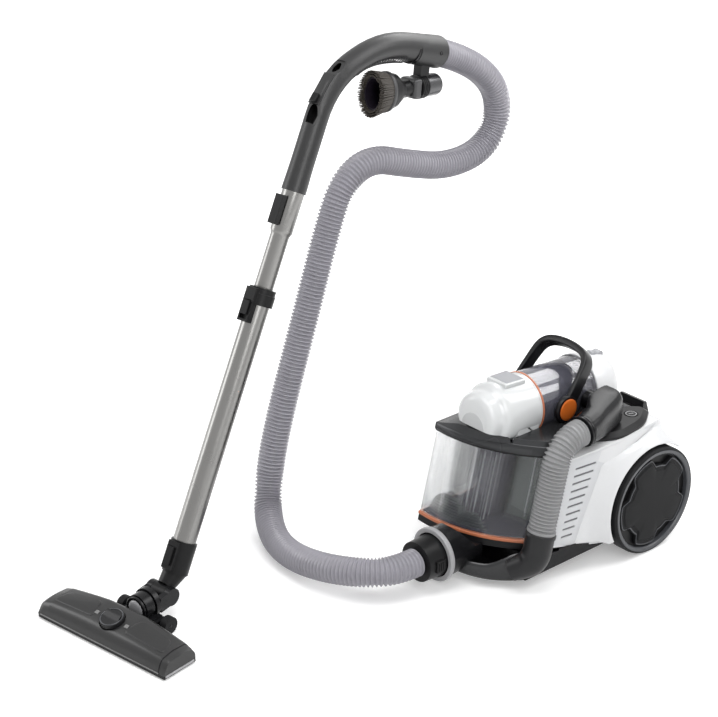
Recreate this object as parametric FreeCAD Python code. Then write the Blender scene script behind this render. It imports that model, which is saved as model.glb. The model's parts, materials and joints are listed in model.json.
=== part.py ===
"""Canister vacuum cleaner: canister, dust unit, hose, handle, telescopic wand and floor head.

Millimetres, +Z up, floor at z = 0 while the shapes are drawn.
Canister frame: x = 0 is the canister's centreline, the hose inlet faces -Y, the left flank is +X.
Head frame: x runs along the floor head, y runs from its front edge to the back, z is up; the
wand, the handle and the accessory brush lie in the plane x = 0 of this frame.
At the end everything moves together, so that the origin is under the middle of the object.
"""
import FreeCAD, Part
import math
import os

V = FreeCAD.Vector
X_AXIS = V(1, 0, 0)
Y_AXIS = V(0, 1, 0)
Z_AXIS = V(0, 0, 1)
ORIGIN = V(0, 0, 0)

# ---------------------------------------------------------------- shared fits and walls
RUN_FIT = 0.06        # radial clearance of shafts and sliding tubes
PIVOT_FIT = 0.095     # radial clearance of the carry handle on its pins
GAP = 0.4             # gap between separate mouldings
MOVE_GAP = 0.8        # gap beside parts that move
WALL = 2.5            # moulded wall

# ---------------------------------------------------------------- rear wheels
WHEEL_R = 83.0
WHEEL_Y = 130.0
WHEEL_FACE_X = 145.0
WHEEL_W = 26.0
RIM_R = 75.0          # inside of the tread band
AXLE_R = 7.0
COVER_T = 4.0
COVER_LOBES = 5

# ---------------------------------------------------------------- canister body
BASE_Z = 8.0          # underside of the base above the floor
BASE_TOP = 50.0
BODY_TOP = 197.0
DECK_T = 10.0
FRONT_X = 104.0       # half width at the front of the flanks
HIP_X = 127.0         # half width just before the wheels
HIP_Y = 62.0
TAIL_Y = 160.0        # where the flanks turn in behind the wheels
TAIL_X = 118.0
TAIL_CORNER_X = 94.0
FLANK_Y = -50.0       # front edge of the flanks
REAR_Y = 212.0
WELL_X = 113.0        # half width between the wheels
WELL_GAP = 4.0        # room round the wheels
SKIRT_X = 92.0        # half width of the flat underside
SKIRT_Z = 38.0        # height where the sloping skirts reach full width
BASE_WALL = 3.0
NOSE_R = 97.0
NOSE_Y = -50.0        # centre of the round nose
NOSE_TOP = 36.0
SCOOP_Z = 15.0
LEAN = math.tan(math.radians(13.9))   # backward lean of the bin, the flanks and the side hose

# ---------------------------------------------------------------- hose inlet
INLET_Z = 47.0
RING_R = 40.4
RING_Y = -172.6
RING_T = 8.0
SNOUT_R = 38.0
SNOUT_END_Y = -110.0
CUFF_R = 32.0
CUFF_PLUG_R = 29.0
CUFF_PLUG_L = 30.0
CUFF_MOUTH_L = 9.0
HOSE_START_Y = -207.0
HOSE_D = 42.0

# ---------------------------------------------------------------- side hose and its ducts
SIDE_HOSE_D = 40.0
SIDE_HOSE_X = 112.0
SIDE_HOSE_Y = -73.0
SIDE_HOSE_Z = 94.0
SIDE_HOSE_TOP_Z = 223.0
SIDE_HOSE_BEND_R = 44.0
SIDE_HOSE_END = V(111, 1, 226)
ELBOW_R = 21.0
DUCT_END_Y = 97.0
DUCT_TOP = 255.0
DUCT_IN_X = 66.0      # inner side of the upper duct
LID_SIDE_X = 87.5     # inner side of the duct beside the lid
PORT_Y = 80.0
PORT_Z = 230.0
PORT_R = 14.0

# ---------------------------------------------------------------- dust unit
BIN_HALF = 82.0
BIN_Z0 = 66.0
BIN_Z1 = 190.0
BIN_LEFT_Y = -125.0   # front corner on the right-hand side of the machine (-X)
BIN_RIGHT_Y = -69.5   # front corner beside the side hose (+X)
BIN_BACK_Y = -8.0
BIN_BULGE = 19.0
GASKET_H = 4.0
FLOOR_H = 10.0
LID_LOW_Z = 200.0
LID_HIGH_Z = 213.0
LID_RIDGE_X = 42.0    # where the lid's top starts to fall away
SHROUD_R = 32.0
SLAT_COUNT = 6
CYC_R = 47.0
CYC_Z = 232.0         # height of the cyclone axis at y = 0
CYC_TILT = -3.4       # degrees, the front is higher
CAP_S0 = -102.0
CAP_S1 = -12.0
RING_S1 = -6.0
TUBE_S1 = 103.0
DOME_S1 = 168.0
CAP_NECK_R = 38.0
CHIN_Y = -66.0        # behind the lid's front wall

# ---------------------------------------------------------------- carry handle
PIVOT_Y = 32.0
PIVOT_R = 6.0
BOSS_R = 20.0
CAP_R = 17.0
CAP_T = 2.2
HANDLE_X = CYC_R + 1.7   # inner face of the handle's legs at the pivot
LEG_T = 7.0
HANDLE_H = 93.5       # crown of the arch above the pivot
HANDLE_BAR = 11.0
HANDLE_DEPTH = 23.0
HANDLE_REST = 37.5    # degrees that the handle lies back

# ---------------------------------------------------------------- inside the canister
MOTOR_X = 36.0
MOTOR_Y = 108.0
MOTOR_R = 44.0
MOTOR_Z0 = 34.0
MOTOR_Z1 = 142.0
SHAFT_R = 4.0
REEL_X = -92.0
REEL_W = 42.0
REEL_Y = 118.0
REEL_Z = 98.0
REEL_R = 62.0
CASTER_Y = -42.0
CASTER_R = 14.0
CASTER_TRAIL = 11.0
CASTER_W = 14.0
CASTER_PIN_R = 5.0
CASTER_ROOM_R = 28.0
CASTER_ROOM_H = 34.0
OUTLET_X = -60.0
OUTLET_Z = 44.0
OUTLET_R = 9.0

# ---------------------------------------------------------------- head frame placement
HEAD_ORIGIN = V(-168.85, -632.3, 0)
HEAD_YAW = 9.293      # degrees

# ---------------------------------------------------------------- wand (y, z in the head frame)
WAND_FOOT = (169.0, 94.0)
WAND_TOP = (407.0, 542.0)
OUTER_TUBE_R = 16.3
OUTER_TUBE_L = 360.0
INNER_TUBE_R = 13.5
TUBE_WALL = 0.9
INNER_TUBE_START = 120.0
SWAGE_AT = 445.0
SOCKET_R = 15.9
PLUG_L = 30.0
COLLAR_R = 20.0
COLLAR_L = 24.0
RELEASE_AT = 33.0     # foot end of the telescope's slider, below the outer tube's end
RELEASE_L = 20.0
RELEASE_TRAVEL = 6.0

# ---------------------------------------------------------------- handle (y, z in the head frame)
GRIP_KNEE = (483.0, 685.0)
GRIP_CREST = (600.0, 712.0)
GRIP_END = (725.0, 671.2)
GRIP_R = 16.8
GRIP_END_R = 23.6

# ---------------------------------------------------------------- floor head
HEAD_HALF = 123.0
HEAD_DEPTH = 60.0
SOLE_Z0 = 2.5
SOLE_T = 5.5
YOKE_AXIS = (69.0, 14.0)
YOKE_RING_Y = 74.0
YOKE_RING_L = 15.0
YOKE_RING_R = 19.5
SWIVEL_Z = 30.0
SWIVEL_R = 15.0
KNUCKLE = (121.0, 33.0)
KNUCKLE_R = 13.0
KNUCKLE_HALF = 12.0
EAR_T = 9.0
HEAD_WHEEL_Y = 90.0
HEAD_WHEEL_R = 12.5
HEAD_WHEEL_X = 36.0
HEAD_WHEEL_W = 12.0
PEDAL_AT = (26.0, 36.5)
PEDAL_R = 17.5
PEDAL_TILT = 15.0
PEDAL_PIN_R = 2.0
PEDAL_PIN_Z = 28.5
PEDAL_EAR_X = 18.8    # inner faces of the ears that carry the pedal's pin
PEDAL_EAR_T = 3.5
MOUTH_HALF = 100.0    # half length of the air mouth
MOUTH_Y0 = 20.0
MOUTH_Y1 = 36.0
STRIP_HALF = 108.0    # half length of the brush strip
STRIP_Y0 = 8.0
STRIP_Y1 = 14.0
CHANNEL_HALF = 24.0

# Route of the hose, from the inlet cuff to the handle.
HOSE_ROUTE = [
    (0, -207, 47), (0, -245, 47), (-28, -284, 46), (-90, -308, 37), (-162, -308, 26),
    (-230, -286, 23), (-282, -252, 48), (-288, -230, 145), (-286, -167, 329),
    (-286, -126, 449), (-286, -98, 511), (-286, -44, 536), (-286, 28, 511),
    (-286, 106, 489), (-286, 176, 495), (-286, 213, 530), (-286, 214, 581),
    (-287, 181, 624), (-292.4, 123.2, 657.2), (-286, 83.7, 671),
]
CORD_NODES = ("main_hose",)
PARTS = {}


# ================================================================ shape helpers
def box(x0, x1, y0, y1, z0, z1):
    return Part.makeBox(x1 - x0, y1 - y0, z1 - z0, V(x0, y0, z0))


def rod(start, axis, radius, length):
    return Part.makeCylinder(radius, length, start, axis)


def pipe(start, axis, outer, inner, length):
    return rod(start, axis, outer, length).cut(rod(start - axis * 1.0, axis, inner, length + 2.0))


def cone(start, axis, r0, r1, length):
    return Part.makeCone(r0, r1, length, start, axis)


def polygon(points):
    return Part.makePolygon([V(*p) for p in points] + [V(*points[0])])


def prism(points, direction):
    """A solid between a flat outline and its copy moved along direction."""
    return Part.Face(polygon(points)).extrude(direction)


def plan(points, z0, z1):
    return prism([(x, y, z0) for x, y in points], V(0, 0, z1 - z0))


def side(points, x0, x1):
    """A solid whose outline in y and z is drawn from the side."""
    return prism([(x0, y, z) for y, z in points], V(x1 - x0, 0, 0))


def loft(outlines, ruled=True):
    wires = [polygon(o) for o in outlines]
    return Part.makeLoft(wires, True, ruled)


def mirrored(points):
    """The outline's points, followed by their mirror images in reverse order."""
    return points + [(-x, y) for x, y in reversed(points)]


def flip(shape):
    return shape.mirror(ORIGIN, X_AXIS)


def union(shapes):
    first = shapes[0]
    rest = shapes[1:]
    if not rest:
        return first
    return first.fuse(rest).removeSplitter()


def without(shape, *tools):
    for tool in tools:
        shape = shape.cut(tool)
    return shape


def rounded(shape, radius, chooser):
    edges = [e for e in shape.Edges if chooser(e)]
    return shape.makeFillet(radius, edges)


def upright(edge):
    """True for a straight edge that is nearly vertical."""
    if len(edge.Vertexes) != 2:
        return False
    d = edge.Vertexes[1].Point - edge.Vertexes[0].Point
    return d.Length > 1.0 and abs(d.z) / d.Length > 0.9


def add(name, shape):
    PARTS[name] = shape


def cord_edges(points):
    """Straight runs joined by tangent arcs as large as the runs allow, and the arcs' radii."""
    pts = [V(*p) for p in points]
    runs = [(b - a).Length for a, b in zip(pts, pts[1:])]
    edges = []
    radii = []
    last = pts[0]
    for i in range(1, len(pts) - 1):
        before = (pts[i] - pts[i - 1]).normalize()
        after = (pts[i + 1] - pts[i]).normalize()
        turn = before.getAngle(after)
        reach = 0.45 * min(runs[i - 1], runs[i])
        radius = reach / math.tan(turn / 2)
        start = pts[i] - before * reach
        end = pts[i] + after * reach
        inward = (after - before).normalize()
        middle = pts[i] + inward * (radius / math.cos(turn / 2) - radius)
        edges.append(Part.LineSegment(last, start).toShape())
        edges.append(Part.Arc(start, middle, end).toShape())
        radii.append(radius)
        last = end
    edges.append(Part.LineSegment(last, pts[-1]).toShape())
    return edges, radii


def tube_along(edges, radius):
    """A round solid along a path of runs and arcs."""
    path = Part.Wire(edges)
    start = edges[0].valueAt(edges[0].FirstParameter)
    axis = edges[0].tangentAt(edges[0].FirstParameter)
    section = Part.Wire(Part.makeCircle(radius, start, axis))
    return path.makePipeShell([section], True, False)


def bent(points, bend_radius):
    """Edges of a three-point path with one arc of the given radius."""
    a, b, c = [V(*p) for p in points]
    before = (b - a).normalize()
    after = (c - b).normalize()
    turn = before.getAngle(after)
    reach = bend_radius * math.tan(turn / 2)
    start = b - before * reach
    end = b + after * reach
    inward = (after - before).normalize()
    middle = b + inward * (bend_radius / math.cos(turn / 2) - bend_radius)
    return [
        Part.LineSegment(a, start).toShape(),
        Part.Arc(start, middle, end).toShape(),
        Part.LineSegment(end, c).toShape(),
    ]


# ================================================================ canister body
def body_plan(inset, z0, z1):
    """The rear body's plan, every wall moved in by inset, as a column."""
    half = [
        (FRONT_X - inset, FLANK_Y + inset), (HIP_X - inset, HIP_Y),
        (TAIL_X - inset, TAIL_Y - inset), (TAIL_CORNER_X, REAR_Y - 4 - inset),
        (TAIL_CORNER_X - 16 - inset, REAR_Y - inset),
    ]
    return plan(mirrored(half), z0, z1)


def body_block(inset):
    """The closed block of the canister's rear body, every wall moved in by inset."""
    outline = [
        (FLANK_Y - 20, BASE_TOP + 8 + inset), (HIP_Y + 14, 30 + inset), (REAR_Y + 9, 30 + inset),
        (REAR_Y + 9, 60), (REAR_Y - inset, 82), (199 - inset, 137),
        (164 - inset, BODY_TOP - inset), (FLANK_Y - 20, BODY_TOP - inset),
    ]
    return body_plan(inset, 20, 240).common(side(outline, -160, 160))


def lean_y(z):
    """How far the leaning parts of the front have moved back at height z."""
    return (z - BIN_Z0) * LEAN


def wheel_rooms(radius, inner_x):
    """The space of both wheels, from inner_x outward."""
    return [rod(V(s * inner_x, WHEEL_Y, WHEEL_R), X_AXIS * s, radius, 60) for s in (-1, 1)]


def leaning_front():
    """Everything in front of the leaning front edge of the flanks."""
    low = FLANK_Y + lean_y(20)
    high = FLANK_Y + lean_y(240)
    return side([(-400, 20), (low, 20), (high, 240), (-400, 240)], -160, 160)


REAR_DOOR_HALF = 84.0
REAR_DOOR_Y = 166.0
REAR_DOOR_Z0 = 62.0
SHOULDER_X = BIN_HALF + 3.0   # inner edge of the panels' top
PANEL_T = 3.0


def rear_door_zone(slack):
    half = REAR_DOOR_HALF + slack
    return box(-half, half, REAR_DOOR_Y - slack, REAR_Y + 20, REAR_DOOR_Z0 - slack, BODY_TOP + 20)


def vent_slots():
    """Ten slots through the flank, shorter towards the bottom, on a leaning line."""
    tools = []
    for i in range(10):
        z = 171.3 - 11.65 * i
        y0 = -9.1 - 2.16 * i
        length = 35.1 - 1.8 * i
        rise = length * 0.045
        outline = [(y0, z + 1.6), (y0 + length, z + 1.6 + rise), (y0 + length, z - 1.6 + rise), (y0, z - 1.6)]
        tools.append(side(outline, 95, 140))
    return tools


def fender():
    """The flare of the flank round the left wheel, from the panel's surface out to FENDER_X."""
    inner_x = WELL_X + WALL
    edge = WHEEL_R + WELL_GAP
    spread = rod(V(inner_x, WHEEL_Y, WHEEL_R), X_AXIS, edge, FENDER_X - inner_x)
    flare = cone(V(inner_x, WHEEL_Y, WHEEL_R), X_AXIS, edge + FENDER_W, edge + PANEL_T, FENDER_X - inner_x)
    flare = flare.cut(cone(V(inner_x - PANEL_T, WHEEL_Y, WHEEL_R), X_AXIS, edge + FENDER_W - 2, edge + 1,
                           FENDER_X - inner_x))
    lip = pipe(V(FENDER_X - PANEL_T, WHEEL_Y, WHEEL_R), X_AXIS, edge + PANEL_T, edge, PANEL_T)
    zone = side([(FLANK_Y - 20, BASE_TOP + 8), (HIP_Y + 14, 30), (TAIL_Y + 20, 30), (REAR_Y - 8, 90), (190, 150),
                 (166, BODY_TOP - 3), (FLANK_Y - 20, BODY_TOP - 3)], 0, 200)
    ring = union([flare, lip]).common(zone)
    return without(ring, spread, body_block(PANEL_T))


FENDER_X = 139.0
FENDER_W = 24.0       # how far the flare spreads from the wheel's arch


def build_flanks():
    shell = body_block(0).cut(body_block(PANEL_T))
    shell = without(shell, leaning_front(), rear_door_zone(GAP), *wheel_rooms(WHEEL_R + WELL_GAP, WELL_X))
    under = body_plan(PANEL_T, 0, REAR_DOOR_Z0)
    sill = box(-REAR_DOOR_HALF - GAP, REAR_DOOR_HALF + GAP, TAIL_Y, REAR_Y + 20, 0, REAR_DOOR_Z0)
    centre = box(-SHOULDER_X, SHOULDER_X, -200, REAR_DOOR_Y + 1, 0, 260)
    right = box(-200, 0, -200, 260, 0, 260)
    stem_room = rod(V(POWER_AT[0], POWER_AT[1], 0), Z_AXIS, STEM_R + MOVE_GAP, 260)
    panel = without(shell, under, sill, centre, right, stem_room, *vent_slots())
    add("side_panel_left", union([panel, fender()]))
    add("side_panel_right", flip(panel))


def build_rear_door():
    shell = body_block(0).cut(body_block(PANEL_T))
    door = shell.common(rear_door_zone(0))
    slots = [box(-60, 60, 190, 230, z, z + 4) for z in range(84, 130, 11)]
    hinge_pin = rod(V(-REAR_DOOR_HALF, REAR_Y - PANEL_T - 4, REAR_DOOR_Z0 + 6), X_AXIS, 3, 2 * REAR_DOOR_HALF)
    knuckle_web = box(-40, 40, REAR_Y - PANEL_T - 4, REAR_Y - 1, REAR_DOOR_Z0 + 4, REAR_DOOR_Z0 + 8)
    door = union([without(door, *slots), knuckle_web, hinge_pin])
    add("rear_cover", door)
    latch = side([(164, BODY_TOP + 1), (165.5, BODY_TOP + 13), (172, BODY_TOP + 11),
                  (181, BODY_TOP - 16), (177, BODY_TOP - 19)], 36, 82)
    latch = without(latch, body_block(-0.6))
    add("rear_latch", latch)


def base_block(inset):
    """The base's closed block: plan of the tray, with sloping skirts along its sides."""
    half = [
        (98 - inset, -84 + inset), (106 - inset, -72 + inset / 2), (FRONT_X + 3 - inset, FLANK_Y),
        (FRONT_X + (HIP_X - FRONT_X) * 0.8 - inset, WHEEL_Y - WHEEL_R - WELL_GAP - 2 - inset),
        (WELL_X - inset, WHEEL_Y - WHEEL_R - WELL_GAP + 3 - inset), (WELL_X - inset, TAIL_Y + 9),
        (TAIL_CORNER_X - inset, REAR_Y - 4 - inset), (TAIL_CORNER_X - 16 - inset, REAR_Y - inset),
    ]
    across = [(SKIRT_X - inset, BASE_Z + inset), (HIP_X - inset, SKIRT_Z), (HIP_X - inset, BASE_TOP)]
    section = prism([(x, -300, z) for x, z in mirrored(across)], V(0, 600, 0))
    return plan(mirrored(half), BASE_Z, BASE_TOP).common(section)


def panel_zone():
    """Where the side panels stand, with their gap to the base."""
    zone = body_block(-GAP).cut(body_plan(PANEL_T + GAP, 0, 300))
    sill = box(-REAR_DOOR_HALF, REAR_DOOR_HALF, TAIL_Y, REAR_Y + 20, 0, REAR_DOOR_Z0)
    return zone.cut(sill)


def rear_sill():
    """The base's rear wall below the rear cover."""
    wall = body_plan(0, BASE_Z + 1, REAR_DOOR_Z0 - 4).cut(body_plan(BASE_WALL, 0, 100))
    return wall.common(box(-REAR_DOOR_HALF + GAP, REAR_DOOR_HALF - GAP, REAR_Y - 10, REAR_Y + 10, 0, 100))


def wheel_wells():
    """Walls between the canister's inside and the wheels, with an arch over each wheel."""
    room = body_block(PANEL_T + GAP)
    room = union([room, base_block(0)])
    outer = [rod(V(s * (WELL_X - BASE_WALL), WHEEL_Y, WHEEL_R), X_AXIS * s, WHEEL_R + WELL_GAP + WALL, 30)
             for s in (-1, 1)]
    wells = union(outer).common(room)
    return without(wells, *wheel_rooms(WHEEL_R + WELL_GAP, WELL_X))


def reel_stand():
    """Foot and axle of the cord reel."""
    inner = REEL_X + REEL_W + 1
    foot = side([(REEL_Y - 40, BASE_Z + 1), (REEL_Y - 9, REEL_Z + 9), (REEL_Y + 9, REEL_Z + 9),
                 (REEL_Y + 40, BASE_Z + 1)], inner, inner + 4)
    axle = rod(V(REEL_X - 2, REEL_Y, REEL_Z), X_AXIS, AXLE_R, REEL_W + 4)
    return [foot, axle]


def nose(radius, z0, z1):
    disc = rod(V(0, NOSE_Y, z0), Z_AXIS, radius, z1 - z0)
    return disc.common(box(-200, 200, -200, -80, z0 - 1, z1 + 1))


def elbow_edges():
    start = V(SIDE_HOSE_X, SIDE_HOSE_Y, SIDE_HOSE_Z) - V(0, LEAN, 1) * 1.5
    knee = V(SIDE_HOSE_X, SIDE_HOSE_Y - 10, 50)
    end = V(78, -107, 36)
    return cord_edges([tuple(start), tuple(knee), tuple(end)])[0]


def build_base():
    tray = base_block(0).cut(base_block(BASE_WALL)).cut(
        body_plan(-20, BASE_TOP - BASE_WALL, 300).common(box(-110, 110, -80, 300, 0, 300)))
    bumper = nose(NOSE_R, BASE_Z, NOSE_TOP).cut(nose(NOSE_R - 5, SCOOP_Z, NOSE_TOP + 5))
    snout_y = RING_Y + RING_T / 2
    snout = cone(V(0, snout_y, INLET_Z), Y_AXIS, SNOUT_R, SNOUT_R - 4, SNOUT_END_Y - snout_y)
    plug_end = RING_Y + CUFF_PLUG_L
    roof = side([(snout_y - 5, INLET_Z + SNOUT_R + 2), (plug_end + 1, INLET_Z + CUFF_PLUG_R + 3),
                 (SNOUT_END_Y - 14, BIN_Z0 - 10), (SNOUT_END_Y + 2, BIN_Z0 - 10),
                 (SNOUT_END_Y + 2, BASE_Z), (snout_y - 5, BASE_Z)], -60, 60)
    snout = snout.common(roof)
    cup = rod(V(0, CASTER_Y, BASE_Z), Z_AXIS, CASTER_ROOM_R + WALL, CASTER_ROOM_H)
    axles = [rod(V(s * (WELL_X - BASE_WALL), WHEEL_Y, WHEEL_R), X_AXIS * s, AXLE_R,
                 WHEEL_FACE_X - COVER_T - 3 - WELL_X + BASE_WALL) for s in (-1, 1)]
    base = union([tray, bumper, snout, cup, rear_sill(), wheel_wells()] + reel_stand())
    bore = rod(V(0, -300, INLET_Z), Y_AXIS, CUFF_PLUG_R + RUN_FIT, 300 + plug_end + 0.3)
    throat = rod(V(0, plug_end, INLET_Z - 6), Y_AXIS, CUFF_PLUG_R - 8, 20)
    caster_room = rod(V(0, CASTER_Y, BASE_Z - 5), Z_AXIS, CASTER_ROOM_R, CASTER_ROOM_H)
    caster_pin = rod(V(0, CASTER_Y, BASE_Z), Z_AXIS, CASTER_PIN_R + RUN_FIT, 50)
    elbow_room = tube_along(elbow_edges(), ELBOW_R + 0.3)
    outlet = rod(V(OUTLET_X, REAR_Y - 20, OUTLET_Z), Y_AXIS, OUTLET_R + 0.05, 30)
    unit = bin_block(1.6 + MOVE_GAP, BIN_Z0 - GASKET_H - FLOOR_H - MOVE_GAP, BIN_Z1)
    base = without(base, bore, throat, caster_room, caster_pin, elbow_room, outlet, unit, panel_zone())
    add("base_pan", union([base] + axles))


def build_inlet():
    ring = pipe(V(0, RING_Y - RING_T / 2, INLET_Z), Y_AXIS, RING_R, CUFF_R + 1.2, RING_T - 0.1)
    ring = rounded(ring, 2.0, lambda e: abs(e.BoundBox.YMin - e.BoundBox.YMax) < 0.01
                   and e.BoundBox.XLength > 2 * RING_R - 1)
    add("connector_ring", ring)
    barrel_len = RING_Y + RING_T / 2 - 0.4 - HOSE_START_Y
    barrel = cone(V(0, HOSE_START_Y, INLET_Z), Y_AXIS, CUFF_R - 2, CUFF_R, barrel_len)
    plug = rod(V(0, RING_Y, INLET_Z), Y_AXIS, CUFF_PLUG_R, CUFF_PLUG_L)
    cuff = union([barrel, plug])
    cuff = cuff.cut(rod(V(0, HOSE_START_Y + CUFF_MOUTH_L, INLET_Z), Y_AXIS, CUFF_PLUG_R - 4, 100))
    cuff = cuff.cut(rod(V(0, HOSE_START_Y - 1, INLET_Z), Y_AXIS, HOSE_D / 2 - 3, 100))
    add("hose_cuff", cuff.cut(latch_block(GAP, CUFF_PLUG_R - 8, CUFF_R + 10)))
    add("cuff_latch", latch_block(0, CUFF_PLUG_R - 3, CUFF_R + 1.5))


def latch_block(slack, x0, x1):
    """The sprung button in the cuff's flank; slack makes its window."""
    return box(x0, x1, -197 - slack, -181 + slack, INLET_Z - 9 - slack, INLET_Z + 9 + slack)


def hose_edges():
    a = V(SIDE_HOSE_X, SIDE_HOSE_Y, SIDE_HOSE_Z)
    b = V(SIDE_HOSE_X - 1, SIDE_HOSE_Y + (SIDE_HOSE_TOP_Z - SIDE_HOSE_Z) * LEAN, SIDE_HOSE_TOP_Z)
    return bent([tuple(a), tuple(b), tuple(SIDE_HOSE_END)], SIDE_HOSE_BEND_R)


def octagon(x0, x1, z0, z1, cut, y):
    return [(x0 + cut, y, z0), (x1 - cut, y, z0), (x1, y, z0 + cut), (x1, y, z1 - cut),
            (x1 - cut, y, z1), (x0 + cut, y, z1), (x0, y, z1 - cut), (x0, y, z0 + cut)]


def duct_block(inset):
    """The duct from the side hose to the cyclone, every wall moved in by inset."""
    x, y, z = SIDE_HOSE_END
    r = SIDE_HOSE_D / 2 + 2
    deck = BODY_TOP + DECK_T + GAP
    sections = [
        octagon(x - r + inset, x + r - inset, deck + inset, z + r - inset, 0.58 * r, y + 7),
        octagon(LID_SIDE_X + inset, 125 - inset, deck + inset, DUCT_TOP - 5 - inset, 12, y + 33),
        octagon(DUCT_IN_X + 2 + inset, 116 - inset, deck + inset, DUCT_TOP - 3 - inset, 12, y + 59),
        octagon(DUCT_IN_X + inset, 103 - inset, deck + inset, DUCT_TOP - inset, 12, DUCT_END_Y),
    ]
    return loft(sections)


def build_side_duct():
    hose = tube_along(hose_edges(), SIDE_HOSE_D / 2).cut(tube_along(hose_edges(), SIDE_HOSE_D / 2 - 3))
    add("side_hose", hose)
    elbow = tube_along(elbow_edges(), ELBOW_R).cut(tube_along(elbow_edges(), ELBOW_R - WALL))
    add("lower_elbow", elbow)
    x, y, z = SIDE_HOSE_END
    leave = hose_edges()[-1].tangentAt(hose_edges()[-1].LastParameter)
    collar = rod(SIDE_HOSE_END + leave * GAP, leave, SIDE_HOSE_D / 2 + 3, 9)
    core = duct_block(WALL).cut(box(0, 200, DUCT_END_Y - WALL, 200, 0, 300))
    port = rod(V(CYC_R + 1.5, PORT_Y, PORT_Z), X_AXIS, PORT_R, DUCT_IN_X + WALL - CYC_R - 1.5)
    bore = rod(V(CYC_R, PORT_Y, PORT_Z), X_AXIS, PORT_R - WALL, 26)
    duct = union([duct_block(0), collar, port])
    duct = without(duct, core, bore, rod(SIDE_HOSE_END - leave, leave, SIDE_HOSE_D / 2 - 3, 14))
    add("upper_duct", duct)


def build_deck():
    """Black control deck: a wing on each side of the cyclone, joined by a cradle below it."""
    wing = [(103, 14), (108, 33), (127, 68), (120, 127), (95, 163), (80, 160), (64, 143), (58, 60), (58, 14)]
    top = plan(wing, BODY_TOP + 0.3, BODY_TOP + DECK_T)
    top = top.makeChamfer(3.5, [e for e in top.Edges if abs(e.BoundBox.ZMin - BODY_TOP - DECK_T) < 0.01
                                and e.BoundBox.ZLength < 0.01 and e.BoundBox.XMax > 70])
    cradle_z = CYC_Z - CYC_R - 17
    cradle = box(-62, 62, 52, 142, cradle_z, cradle_z + 4)
    post = box(58.5, 62, 52, 140, cradle_z, BODY_TOP + 3)
    deck = union([top, post, flip(top), flip(post), cradle])
    lid_room = bin_block(2.2 + MOVE_GAP, BIN_Z1, LID_HIGH_Z + 20, 1.5 + MOVE_GAP)
    button_room = rod(V(POWER_AT[0], POWER_AT[1], 0), Z_AXIS, BUTTON_R + MOVE_GAP / 2, 400)
    deck = without(deck, lid_room, button_room, flip(button_room))
    add("control_deck", deck)
    stem = rod(V(POWER_AT[0], POWER_AT[1], BODY_TOP - 8), Z_AXIS, STEM_R, 12)
    button = union([rod(V(POWER_AT[0], POWER_AT[1], BODY_TOP + BUTTON_PRESS + 0.6), Z_AXIS, BUTTON_R,
                        DECK_T - BUTTON_PRESS + 0.2), stem])
    add("power_button", button)
    add("rewind_button", flip(button))


POWER_AT = (93.0, 126.0)
BUTTON_R = 10.0
STEM_R = 4.0
BUTTON_PRESS = 1.5


def build_chassis():
    """Black inner chassis: the leaning bulkhead behind the bin and its two cheeks."""
    back = BIN_BACK_Y + 3.0
    top = BODY_TOP - PANEL_T - GAP
    low = BASE_TOP + GAP
    wall = side([(back + lean_y(low), low), (back + 3 + lean_y(low), low),
                 (back + 3 + lean_y(top), top), (back + lean_y(top), top)], -CHEEK_X, CHEEK_X)
    low = BASE_TOP + 16
    cheek = side([(FLANK_Y + 3 + lean_y(low), low), (back + 1 + lean_y(low), low),
                  (back + 1 + lean_y(top), top), (FLANK_Y + 3 + lean_y(top), top)], CHEEK_X - PANEL_T, CHEEK_X)
    cyclone_room = cyc(along_y(-80, TUBE_S1, CYC_R + 1.5))
    add("inner_chassis", union([wall, cheek, flip(cheek)]).cut(cyclone_room))


CHEEK_X = FRONT_X - PANEL_T - 1


# ================================================================ dust unit
def bin_outline(grow, z, back_grow=None):
    """Wire of the bin's plan at height z: a bulged front, straight sides and back."""
    shift = lean_y(z)
    back = BIN_BACK_Y + shift + (grow if back_grow is None else back_grow)
    left = V(-BIN_HALF - grow, BIN_LEFT_Y + shift - grow, z)
    right = V(BIN_HALF + grow, BIN_RIGHT_Y + shift - grow, z)
    chord = right - left
    outward = V(chord.y, -chord.x, 0).normalize()
    middle = (left + right) * 0.5 + outward * BIN_BULGE
    edges = [
        Part.Arc(left, middle, right).toShape(),
        Part.LineSegment(right, V(right.x, back, z)).toShape(),
        Part.LineSegment(V(right.x, back, z), V(left.x, back, z)).toShape(),
        Part.LineSegment(V(left.x, back, z), left).toShape(),
    ]
    return Part.Wire(edges)


def bin_block(grow, z0, z1, back_grow=None):
    wires = [bin_outline(grow, z0, back_grow), bin_outline(grow, z1, back_grow)]
    return Part.makeLoft(wires, True, True)


def lid_top_cut():
    """The space above the lid's top, which falls away towards the right-hand corner."""
    top = [(-120, LID_LOW_Z - 6), (-BIN_HALF, LID_LOW_Z), (-LID_RIDGE_X, LID_HIGH_Z - 1), (120, LID_HIGH_Z)]
    outline = top + [(120, LID_HIGH_Z + 60), (-120, LID_HIGH_Z + 60)]
    return prism([(x, -200, z) for x, z in outline], V(0, 300, 0))


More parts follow.
